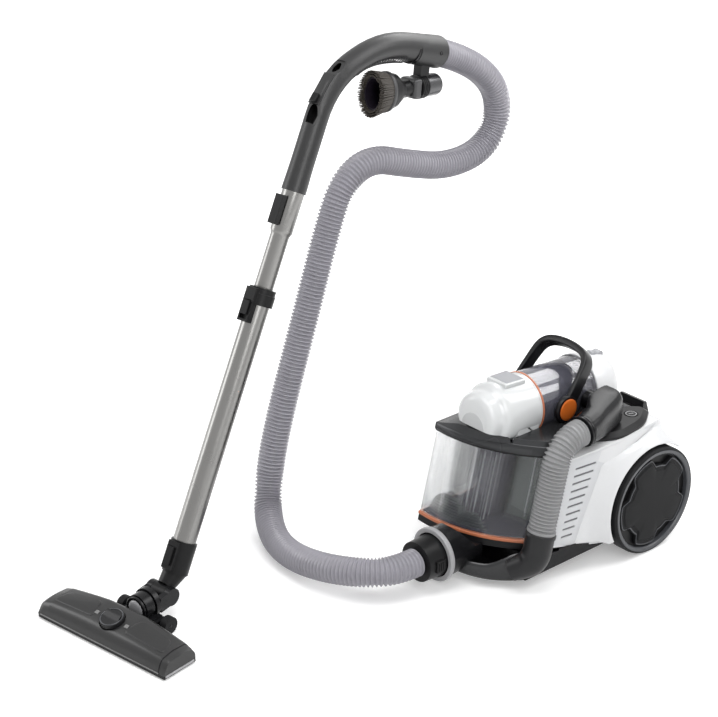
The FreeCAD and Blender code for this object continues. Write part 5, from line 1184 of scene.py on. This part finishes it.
@dataclass
class Cyclone(Assembly):
    """Cyclone across the top: milky cap with its hatch, copper ring, smoked body and white rear dome."""

    body: str = "dust_unit"
    cap_front: float = -102.0
    cap_end: float = -12.1
    ring_end: float = -6.1
    body_end: float = 103.0
    body_radius: float = 45.6
    chin: Pairs = ((-66, -23), (-122, -6.2), (-122, -80), (-66, -80))

    def at_home(self, points: np.ndarray) -> np.ndarray:
        """Points drawn about the cyclone's axis, put in their place."""
        return self.workshop.drawing.from_cyclone(points)

    def turned(self, profile: Outline, segments: int = 112) -> Form:
        """A form turned about the cyclone's axis."""
        return self.placed(lathe(profile, segments=segments))

    def build(self) -> None:
        """Make the cap, hatch, ring, body and dome."""
        shop = self.workshop
        f, r = self.cap_front, self.body_radius
        shell = self.turned([(f, 0.5), (f, 25.5), (f + 0.8, 29.5), (f + 3, 33.2), (f + 6.5, 36), (f + 11, 37.2),
                             (f + 19, 37.9), (f + 21.5, 38.9), (f + 24, 41), (f + 27, 43.6), (f + 31, 45),
                             (f + 36, r), (self.cap_end, r + 0.2), (self.cap_end, 0.5)])
        chin = self.placed(side_prism(list(self.chin), -60, 60))
        skirt = self.placed(side_prism([(-70.5, -33.4), (-64, 6), (-12.3, 6), (-12.3, -33.4)], -43, 43))
        self.piece("cap_shell", shop.carve(shell, cuts=[chin]), FROST, bevel=1.2, segments=3, angle=38,
                   replaces=["cyclone_cap"])
        ahead = prism([(-80, -95, 120), (80, -40.9, 120), (80, -200, 120), (-80, -200, 120)], (0, 0, 120))
        self.piece("cap_skirt", shop.carve(skirt, cuts=[chin, ahead]), FROST, bevel=2, segments=4)
        low = -13
        window = lathe([(f - 0.7, 0.5), (f - 0.7, 20.8), (f - 0.2, 21.8), (f + 2, 22), (f + 2, 0.5)], (0, 0, low),
                       Y_AXIS, 80)
        self.piece("cap_window", shop.carve(self.placed(window), cuts=[chin]), FROST_GREY, angle=40)
        hatch = self.placed(prism([(-19, -62, 41), (19, -62, 41), (20, -22, 41), (-20, -22, 41)], (0, 0, 7.6)))
        self.piece("hatch_frame", hatch, FROST, bevel=2.2, segments=4, replaces=["cap_hatch"])
        plate = self.placed(prism([(-16.5, -57, 48.4), (16.5, -57, 48.4), (17.5, -24, 48.4), (-17.5, -24, 48.4)],
                                  (0, 0, 0.8)))
        self.piece("hatch_plate", plate, HATCH_GREY, bevel=0.6, segments=2)
        e = self.ring_end
        self.piece("copper_ring", self.turned([(e - 3.4, 43), (e - 3.4, r + 1), (e - 2.8, r + 1.5),
                                               (e - 0.5, r + 1.5), (e, r + 1), (e, 43), (e - 3.4, 43)]), COPPER,
                   replaces=["cyclone_ring"])
        self.piece("cap_collar", self.turned([(self.cap_end + 0.1, 43), (self.cap_end + 0.1, r + 0.6),
                                              (e - 3.5, r + 0.6), (e - 3.5, 43), (self.cap_end + 0.1, 43)]), FROST)
        self.piece("smoked_tube", self.turned([(e + 0.1, r - 2), (e + 0.1, r), (self.body_end, r),
                                               (self.body_end, r - 2), (e + 0.1, r - 2)]), SMOKE,
                   replaces=["cyclone_body"])
        self.piece("inner_sleeve", self.turned([(e + 2, 20), (e + 2, 39), (40, 37.5), (44, 33), (48, 33), (50, 38),
                                                (96, 38.5), (96, 20)], 12), SLEEVE, bevel=0.8, angle=20)
        dome = self.turned([(103.2, 0.5), (103.2, 47), (104, 47.8), (110.6, 47.8), (111.4, 47), (111.6, 45.4),
                            (126, 45.2), (140, 44), (150, 41.6), (158, 37.4), (164, 31), (167.2, 23), (168, 12),
                            (168.1, 0.5)])
        self.piece("rear_dome", dome, WHITE, angle=40, replaces=["cyclone_dome"])
        clip = self.placed(side_prism([(128, 42), (131, 47.4), (135, 48.2), (139, 46.2), (143, 45.2), (147, 46.2),
                                       (151, 46.2), (154, 44), (155, 38), (131, 38)], -6.5, 6.5))
        self.piece("dome_clip", clip, HATCH_GREY, bevel=1.2, segments=3)


@dataclass
class CarryHandle(Assembly):
    """Black strap arch on its two bosses, with orange pivot discs."""

    body: str = "carry_arch"
    pivot_y: float = 32.0
    boss_in: float = 48.7
    boss_out: float = 55.7
    boss_radius: float = 20.0
    lean: float = 37.5
    crown_from: float = 45.0
    crown_over: float = 40.0
    half_thick: Pair = (3.4, 1.9)
    half_deep: Pair = (11.3, -0.8)
    edge_radius: float = 3.2
    arch: Pairs = ((52.2, 0), (51.8, 16), (50.4, 36), (48, 58), (45, 73), (35.5, 82.5), (20, 87), (0, 88.6))

    def at_home(self, points: np.ndarray) -> np.ndarray:
        """Points drawn upright about the pivot, laid back and put on the cyclone's flanks."""
        return self.workshop.drawing.from_cyclone(tilted(points, -self.lean, self.pivot_y, 0))

    def strap(self) -> Form:
        """The arch as a strap with rounded edges, thicker at its crown."""
        half = [(x, 0, z) for x, z in self.arch]
        route = half + [(-x, 0, z) for x, _, z in reversed(half[:-1])]
        path = smooth_route([tuple(c * MM for c in p) for p in route]) / MM
        path = resample(path, np.linspace(0, path_length(path), 110))
        tangents = np.gradient(path, axis=0)
        rings = []
        for p, t in zip(path, tangents):
            t = unit((t[0], 0, t[2]))
            n = np.array([t[2], 0, -t[0]])
            share = share_of((p[2] - self.crown_from) / self.crown_over)
            thick, deep = (leg + more * share for leg, more in (self.half_thick, self.half_deep))
            corners = [(-thick, -deep), (thick, -deep), (thick, deep), (-thick, deep)]
            outline = eased(corners, [self.edge_radius] * 4, 5)
            rings.append([p + n * a + np.array([0, b, 0]) for a, b in outline])
        return rings_to_form(rings)

    def build(self) -> None:
        """Make the strap, its bosses and the orange discs."""
        shop = self.workshop
        r, x0, x1 = self.boss_radius, self.boss_in, self.boss_out
        boss = hoop([(x0, 6.2), (x0, r - 0.8), (x0 + 0.8, r), (x1 - 1.6, r), (x1 - 0.4, r - 0.7), (x1, r - 2),
                     (x1, 6.2)], (0, 0, 0), X_AXIS, 80)
        disc = lathe([(x1 + 0.2, 0.5), (x1 + 0.2, 15.6), (x1 + 0.6, 16.4), (x1 + 1.5, 16.4), (x1 + 2.1, 15.7),
                      (x1 + 2.4, 12), (x1 + 2.4, 0.5)], axis=X_AXIS, segments=80)
        arch = shop.carve(self.strap(), cuts=[drum(-70, 70, 19.4, (0, 0, 0), X_AXIS, 80)])
        self.piece("carry_strap", self.placed(arch + boss + boss.mirrored()), HANDLE_BLACK, angle=40,
                   replaces=["carry_handle"])
        self.piece("pivot_discs", self.placed(disc + disc.mirrored()), ORANGE, angle=40, replaces=["handle_caps"])


# ------------------------------------------------------------------ handle and tool
@dataclass
class HandleTrim(Assembly):
    """Details on the bent handle: facet panel, fine ribs below, collar groove, top lip and screw head."""

    top: Pair = (407, 542)
    knee: Pair = (483, 685)
    crest: Pair = (600, 712)
    end: Pair = (725, 671.2)
    stations: Pairs = (
        (0.00, 17.8), (0.10, 16.8), (0.35, 16.8), (0.50, 17.2), (0.62, 18), (0.76, 19.4), (0.88, 22), (1.00, 23.6))
    line: np.ndarray = field(default_factory=lambda: np.zeros((0, 3)))

    def at_home(self, points: np.ndarray) -> np.ndarray:
        """Points of the wand's drawing, which the floor head and the handle share."""
        return self.workshop.drawing.from_head(points)

    def at(self, share: float, angle: float, rise: float) -> np.ndarray:
        """A point on the grip: angle 0 is the outer side of the bend, 90 the left side."""
        length = path_length(self.line)
        p, q = resample(self.line, np.array([share * length, min(share * length + 1, length)]))
        if share * length + 1 > length:
            p, q = resample(self.line, np.array([length, length - 1]))
            q = 2 * p - q
        along = unit(q - p)
        outward = np.array([0, -along[2], along[1]])
        r = float(np.interp(share, [s for s, _ in self.stations], [r for _, r in self.stations])) + rise
        a = math.radians(angle)
        return p + (outward * math.cos(a) + np.array([1, 0, 0]) * math.sin(a)) * r

    def patch(self, shares: Sequence[float], angles: Sequence[float], low: float, high: float) -> Form:
        """A thin shell that hugs the grip."""
        rings = []
        for s in shares:
            outer = [self.at(s, a, high) for a in angles]
            inner = [self.at(s, a, low) for a in reversed(angles)]
            rings.append(outer + inner)
        return rings_to_form(rings)

    def build(self) -> None:
        """Make the details, and the grip itself from its CAD shape."""
        shop = self.workshop
        control = [(0, *self.top), (0, *self.knee), (0, *self.crest), (0, *self.end)]
        self.line = smooth_route([tuple(c * MM for c in p) for p in control]) / MM
        ends = []
        for low, high in (((0.268, 0.3), (0.300, 4.7)), ((0.442, 0.3), (0.412, 4.7))):
            away = 2 * low[0] - high[0]
            corners = [low, high, (high[0], 12), (away, 12), (away, 0.3)]
            outline = [self.at(s, 0, rise) + np.array([-14, 0, 0]) for s, rise in corners]
            ends.append(self.placed(prism(outline, (28, 0, 0))))
        shop.soften("handle_grip", CHARCOAL, 2, segments=4, cuts=ends)
        facet = self.patch(np.linspace(0.30, 0.45, 12), np.linspace(38, 74, 8), -1.5, 0.5)
        self.piece("grip_facet", self.placed(facet), FACET, bevel=0.4, segments=2)
        ribs = [sweep(np.array([self.at(s, a, -0.1) for a in np.linspace(118, 242, 14)]), [0.85] * 14, 6)
                for s in np.linspace(0.50, 0.78, 19)]
        self.piece("grip_ribs", self.placed(gather(ribs)), FACET)
        collar = self.patch(np.linspace(0.832, 0.842, 3), np.linspace(0, 345, 60), -1, 0.25)
        self.piece("grip_collar_line", self.placed(collar), BLACK_GLOSS)
        housing = self.patch([0.845, 0.85, 0.86, 0.93, 0.985, 0.996, 1], np.linspace(-178, 178, 60), -1, 0.7)
        self.piece("grip_housing", self.placed(housing), CHARCOAL, angle=50)
        screw = lathe([(-1, 3), (0.6, 3), (0.8, 2.6), (0.5, 1), (0.5, 0.4)], self.at(0.955, 90, 0.6),
                      self.at(0.955, 90, 2) - self.at(0.955, 90, 0), 24)
        self.piece("grip_screw", self.placed(screw), BLACK_GLOSS)


@dataclass
class DustingBrush(Assembly):
    """Clipped-on brush tool: tufts round a dark mouth, collar ring, ribbed clamp and satin end tube."""

    body: str = "dusting_brush"
    free_end: Pair = (722, 623)
    pitch: float = 7.5
    tufts: int = 76
    layers: Tuple[float, ...] = (0.0, 0.5, 1.0)
    root_oval: Tuple[Pair, Pair] = ((15.4, 3.9), (22.4, 4.9))
    tip_oval: Tuple[Pair, Pair] = ((18.0, 5.4), (26.4, 6.9))
    root_y: float = -117.6
    tip_y: float = -147.5

    def at_home(self, points: np.ndarray) -> np.ndarray:
        """Points drawn along -y from the tool's free end, put below the handle."""
        return self.workshop.drawing.from_head(tilted(points, -self.pitch, *self.free_end))

    @staticmethod
    def oval_ring(section: Sequence[Triple]) -> Form:
        """An oval ring across the tool, from the y and the two half widths of each edge of its section."""
        turns = np.linspace(0, 2 * math.pi, 56, False)
        return rings_to_form([[(x * math.cos(t), y, z * math.sin(t)) for t in turns] for y, x, z in section],
                             closed_path=True)

    def build(self) -> None:
        """Make the tufts, the mouth and the trim."""
        shop = self.workshop
        shop.soften("brush_tool", BLACK_SATIN, 1)
        chance = np.random.default_rng(7)
        strands = []
        for layer, grow in enumerate(self.layers):
            for k in range(self.tufts):
                t = 2 * math.pi * (k + 0.5 * (layer % 2) + chance.uniform(-0.2, 0.2)) / self.tufts
                (x0, z0), (x1, z1) = ([inner + more * grow for inner, more in oval]
                                      for oval in (self.root_oval, self.tip_oval))
                root = np.array([x0 * math.cos(t), self.root_y, z0 * math.sin(t)])
                tip = np.array([x1 * math.cos(t), self.tip_y - chance.uniform(0, 2.6), z1 * math.sin(t)])
                tip += np.array([chance.uniform(-0.5, 0.5), 0, chance.uniform(-0.5, 0.5)])
                strands.append(sweep(np.array([root, (root + tip) / 2, tip]), [1.35, 1.3, 0.75], 5))
        self.piece("bristle_tufts", self.placed(gather(strands)), BRISTLE, replaces=["brush_bristles"])
        mouth = self.oval_ring([(-118, 15, 21.6), (-142, 17.2, 25.2), (-142, 14.4, 22), (-119.5, 11.5, 17)])
        self.piece("brush_mouth", self.placed(mouth), MOUTH)
        collar = self.oval_ring([(-112, 20.8, 28.6), (-113, 21.8, 29.9), (-118.6, 22, 30.2), (-119.6, 21.2, 29.2),
                                 (-119.6, 15, 22), (-112, 15, 22)])
        self.piece("brush_collar", self.placed(collar), FACET, angle=50)
        rings = [hoop([(y, 12), (y, 17.6), (y - 0.5, 18.1), (y - 2.4, 18.1), (y - 2.9, 17.6), (y - 2.9, 12)],
                      (0, 0, 0), Y_AXIS, 56) for y in (-31, -35, -39, -43)]
        block_form = prism([(-15.5, -47, -14), (15.5, -47, -14), (15.5, -47, 15), (-15.5, -47, 15)], (0, -18, 0))
        self.piece("tool_clamp_rings", self.placed(gather(rings)), BLACK_SATIN, angle=50)
        self.piece("tool_clamp_block", self.placed(block_form), FACET, bevel=4.5, segments=5)
        sleeve = hoop([(-0.2, 13.8), (0, 15.6), (-0.8, 16.5), (-3, 16.8), (-30, 16.8), (-30.5, 15.8), (-30.5, 13.8)],
                      (0, 0, 0), Y_AXIS, 72)
        self.piece("tool_end_sleeve", self.placed(sleeve), DARK_METAL, angle=50)


# ------------------------------------------------------------------ floor head
@dataclass
class FloorHead(Assembly):
    """Rounded cover with two plateaus, end cap, marks, a painted highlight line along its front edge and the pedal's
    ring.
    """

    body: str = "nozzle"
    foot: float = 7.8
    pedal_at: Pair = (26, 36.5)
    pedal_radius: float = 17.5
    tilt: float = 15.0
    stations: Tuple[Tuple[float, float, float, float, float], ...] = (
        (-123, 20, 24, 22, 59), (-118, 23.5, 28, 26.5, 60), (-106, 25.5, 31, 30, 61), (-84, 26.5, 33.2, 33.5, 61.2),
        (-58, 27, 35, 37.3, 61.6), (-34, 27, 36, 40, 62), (34, 27, 36, 40, 62), (58, 27, 35, 37.3, 61.6),
        (84, 26.5, 33.2, 33.5, 61.2), (106, 25.5, 31, 30, 61), (118, 24.6, 28.6, 26.8, 60.2),
        (123, 23.6, 26.6, 24.6, 59.6))

    def at_home(self, points: np.ndarray) -> np.ndarray:
        """Points of the wand's drawing, which the floor head and the handle share."""
        return self.workshop.drawing.from_head(points)

    def profile(self, x: float, grow: float = 0.0) -> np.ndarray:
        """The cover's outline in y and z at x."""
        xs = [s[0] for s in self.stations]
        front, mid, back, depth = (float(np.interp(x, xs, [s[k] for s in self.stations])) for k in (1, 2, 3, 4))
        corners = [(0.4 - grow, self.foot), (3.4 - grow, front - 8), (9, front + 1 + grow), (28, mid + grow),
                   (depth - 6, back + grow), (depth + grow, back - 9), (depth + grow, self.foot)]
        return np.array(eased(corners, [0.4, 8, 8, 12, 7, 7, 0.4], 6))

    def height(self, x: float, y: float) -> float:
        """Height of the cover at a point."""
        p = self.profile(x)
        top = p[5:-8]
        return float(np.interp(y, top[:, 0], top[:, 1]))

    def strip(self, x0: float, x1: float, grow: float, count: int = 3) -> Form:
        """A slice of the cover between two x, grown outward."""
        return rings_to_form([[(x, y, z) for y, z in self.profile(x, grow)] for x in np.linspace(x0, x1, count)])

    def plateau(self, outline: Sequence[Pair], rise: float) -> Form:
        """A raised panel that follows the cover."""
        points = eased(outline, [7] * len(outline), 5)
        centre = np.mean(points, axis=0)
        rings = []
        for share, up in ((1, -1.2), (1, rise * 0.6), (0.985, rise), (0.9, rise), (0.7, rise), (0.4, rise),
                          (0.02, rise)):
            ring = [centre + (np.array(p) - centre) * share for p in points]
            rings.append([(x, y, self.height(x, y) + up) for x, y in ring])
        return rings_to_form(rings)

    def build(self) -> None:
        """Make the cover and its details."""
        shop = self.workshop
        a = math.radians(self.tilt)
        up = (0, -math.sin(a), math.cos(a))
        centre = np.array([0, self.pedal_at[0], self.pedal_at[1]])
        xs = np.concatenate([np.linspace(-123, -104, 12), np.linspace(-98, 98, 50), np.linspace(104, 123, 12)])
        skin = rings_to_form([[(x, y, z) for y, z in self.profile(x)] for x in xs])
        well = drum(-9, 30, self.pedal_radius + 1.4, centre, up, 96)
        cover = shop.carve(self.placed(skin), cuts=[self.placed(well)])
        self.piece("head_cover", cover, HEAD_GREY, bevel=0.5, segments=2, angle=40, replaces=["nozzle_cover"])
        left = self.plateau([(-108, 17), (-30, 17), (-38, 46), (-98, 42)], 0.8)
        right = self.plateau([(30, 17), (106, 17), (98, 42), (38, 46)], 0.8)
        self.piece("head_plateaus", self.placed(left + right), PLATEAU, angle=50)
        seam = self.strip(110.4, 112, 0.35)
        self.piece("head_end_seam", self.placed(seam), BLACK_GLOSS)
        tile = ((-3.2, -2.6), (3.2, -2.6), (3.2, 2.6), (-3.2, 2.6))
        marks = [rings_to_form([[(x + i, 26 + j, self.height(x + i, 26 + j) + lift) for i, j in tile]
                                for lift in (-0.5, 0.9)]) for x in (-29, 28)]
        # A thin light-grey strip along the cover's front lower edge: a painted highlight of the front ridge, in the
        # marks' light grey.
        front_highlight_line = rings_to_form([[(x, -0.3, 8.2), (x, -0.3, 9.4), (x, 1.4, 9.4), (x, 1.4, 8.2)]
                                    for x in np.linspace(-118, 112, 24)])
        self.piece("head_marks_and_highlight", self.placed(gather(marks + [front_highlight_line])), MARK_AND_HIGHLIGHT)
        end_strip = block((121.4, 123.5), (3, 57), (4, 7.6))
        self.piece("head_end_strip", self.placed(end_strip), LIGHT_GREY, bevel=0.8, segments=2)
        shop.soften("nozzle_pedal", DARK_GREY, 1.2, segments=4)
        r = self.pedal_radius
        ring = hoop([(2.4, r - 2.6), (3.5, r - 2.3), (3.7, r - 1.7), (3.5, r - 1.1), (2.4, r - 0.8)], centre, up, 96)
        self.piece("pedal_ring", self.placed(ring), RIM, "pedal")
        flange = hoop([(69.6, 14.6), (69.6, 17), (70.4, 18), (72.8, 18), (73.6, 17), (73.6, 14.6)], (0, 0, 30),
                      Y_AXIS, 72)
        self.piece("swivel_flange", self.placed(flange), BLACK_GLOSS, "elbow")
        plug = lathe([(67.2, 0.5), (67.4, 8), (68.4, 11.6), (70.4, 13.6), (73.2, 14.5), (73.4, 0.5)], (0, 0, 30),
                     Y_AXIS, 72)
        self.piece("swivel_plug", self.placed(plug), PLUG, "elbow", angle=60)


# ------------------------------------------------------------------ surroundings
@dataclass
class Studio:
    """Floor, soft lamps and camera."""

    drawing: Drawing
    lens_mm: float = 99.43
    distance_mm: float = 3000.0
    azimuth: float = 49.03
    elevation: float = 24.79
    target: Point = (-281.5, -69.7, 223.7)
    lit_point: Point = (-140, -150, 250)
    lamp_distance_m: float = 2.0
    floor_half_m: float = 30.0
    world_light: float = 0.15

    @staticmethod
    def background_rays(tree: Tree) -> Socket:
        """Socket that is 1 for the rays that see the pale background."""
        rays = add_node(tree, "LightPath").outputs
        found = rays["Is Camera Ray"]
        for kind in ("Is Glossy Ray", "Is Transmission Ray"):
            found = add_node(tree, "Math", {0: found, 1: rays[kind]}, operation="MAXIMUM").outputs[0]
        return found

    def floor(self) -> None:
        """A wide pale floor that fades to white away from the machine."""
        mesh = bpy.data.meshes.new("floor")
        half = self.floor_half_m
        mesh.from_pydata([(-half, -half, 0), (half, -half, 0), (half, half, 0), (-half, half, 0)], [], [(0, 1, 2, 3)])
        ground = bpy.data.objects.new("floor", mesh)
        bpy.context.scene.collection.objects.link(ground)
        mat = bpy.data.materials.new("pale_floor")
        mat.use_nodes = True
        tree = mat.node_tree
        place = add_node(tree, "TexCoord").outputs["Object"]
        away = add_node(tree, "VectorMath", {0: place}, operation="LENGTH").outputs["Value"]
        fade = add_node(tree, "MapRange", {"From Min": 0.55, "From Max": 1.3, "To Min": 0.30, "To Max": 1,
                                           "Value": away}).outputs["Result"]
        glow = add_node(tree, "Math", {0: self.background_rays(tree), 1: fade}, operation="MULTIPLY").outputs[0]
        fill(tree, tree.nodes["Principled BSDF"], {
            "Base Color": (0.9, 0.9, 0.9, 1), "Roughness": 0.9, "Specular IOR Level": 0.1,
            "Emission Color": (1, 1, 1, 1), "Emission Strength": glow})
        mesh.materials.append(mat)

    def lamps(self) -> None:
        """Soft boxes round the machine and a plain world."""
        world = bpy.data.worlds.new("studio")
        bpy.context.scene.world = world
        world.use_nodes = True
        tree = world.node_tree
        plain, output = tree.nodes["Background"], tree.nodes["World Output"]
        fill(tree, plain, {"Color": (1, 1, 1, 1), "Strength": self.world_light})
        seen = add_node(tree, "Background", {"Color": (1, 1, 1, 1), "Strength": 1})
        mix = add_node(tree, "MixShader", {"Fac": self.background_rays(tree), 1: plain.outputs[0], 2: seen.outputs[0]})
        fill(tree, output, {"Surface": mix.outputs[0]})
        middle = Vector(self.drawing.place([self.lit_point])[0])
        for name, toward, size, power in (
            ("overhead_softbox", (0.15, -0.25, 1), (1.5, 1.1), 24), ("key_softbox", (1, -0.35, 0.7), (0.8, 1.3), 17),
            ("left_softbox", (-1, -0.9, 0.55), (0.7, 1.6), 14), ("back_softbox", (-0.2, 1, 0.8), (1.6, 0.6), 14),
            ("rim_softbox", (0.45, 0.6, 0.65), (0.5, 1.5), 13),
        ):
            lamp = bpy.data.lights.new(name, "AREA")
            lamp.shape = "RECTANGLE"
            lamp.size, lamp.size_y = size
            lamp.energy = power
            thing = bpy.data.objects.new(name, lamp)
            direction = Vector(toward).normalized()
            thing.location = middle + direction * self.lamp_distance_m
            thing.rotation_mode = "QUATERNION"
            thing.rotation_quaternion = direction.to_track_quat("Z", "Y")
            bpy.context.scene.collection.objects.link(thing)

    def camera(self) -> None:
        """Camera at the machine's front left quarter."""
        data = bpy.data.cameras.new("camera")
        data.lens = self.lens_mm
        data.sensor_width = 36
        thing = bpy.data.objects.new("camera", data)
        a, e = math.radians(self.azimuth), math.radians(self.elevation)
        back = Vector((math.sin(a) * math.cos(e), -math.cos(a) * math.cos(e), math.sin(e)))
        target = Vector(self.drawing.place([self.target])[0])
        thing.location = target + back * self.distance_mm * MM
        thing.rotation_mode = "QUATERNION"
        thing.rotation_quaternion = back.to_track_quat("Z", "Y")
        data.clip_start, data.clip_end = 0.05, 100
        bpy.context.scene.collection.objects.link(thing)
        bpy.context.scene.camera = thing

    def build(self) -> None:
        """Set the stage up."""
        bpy.context.scene.view_settings.view_transform = "Standard"
        self.floor()
        self.lamps()
        self.camera()


SOFTENED: Tuple[Tuple[str, Finish, float], ...] = (
    ("connector_ring", LIGHT_GREY, 0.6), ("hose_cuff", BLACK_SATIN, 1), ("cuff_latch", BLACK_SATIN, 0.8),
    ("rear_cover", WHITE, 2.2), ("rear_latch", DARK_GREY, 1.6), ("inner_chassis", DARK_GREY, 0.6),
    ("bin_gasket", COPPER, 0.8), ("bin_floor", BLACK_SATIN, 0.6), ("cyclone_core", DARK_GREY, 0.4),
    ("caster_fork", BLACK_SATIN, 0.6), ("caster_wheel", TYRE, 1), ("motor_housing", MOTOR, 0.8),
    ("motor_rotor", STEEL, 0.3), ("motor_filter", FELT, 0.8), ("exhaust_filter", FELT, 0.8),
    ("cord_reel", BLACK_SATIN, 0.6), ("cord_outlet", BLACK_SATIN, 0.5), ("wand_lower_tube", TUBE, 0.2),
    ("telescope_collar", BLACK_SATIN, 0.8), ("telescope_slider", BLACK_SATIN, 0.8), ("wand_upper_tube", TUBE, 0.2),
    ("wand_button", BLACK_SATIN, 1.2), ("suction_slider", BLACK_SATIN, 0.8), ("neck_tube", BLACK_SATIN, 0.8),
    ("neck_button", BLACK_SATIN, 0.8), ("neck_elbow", BLACK_GLOSS, 0.8), ("nozzle_yoke", BLACK_GLOSS, 0.8),
    ("nozzle_wheels", TYRE, 1), ("nozzle_sole", BLACK_SATIN, 0.6), ("brush_strip", BRISTLE, 0.3),
)
ASSEMBLIES = (SuctionHose, SideAirway, ControlDeck, Flanks, RearWheels, BaseFront, DustBin, Cyclone, CarryHandle,
              HandleTrim, DustingBrush, FloorHead)


def main() -> None:
    """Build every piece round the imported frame."""
    logging.basicConfig(level=logging.INFO, format="%(name)s: %(message)s")
    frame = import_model()
    drawing = Drawing.from_frame()
    workshop = Workshop(frame, drawing)
    Studio(drawing).build()
    for assembly in ASSEMBLIES:
        assembly(workshop).build()
    for node, finish, bevel in SOFTENED:
        workshop.soften(node, finish, bevel)
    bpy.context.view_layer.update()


if __name__ == "__main__":
    main()
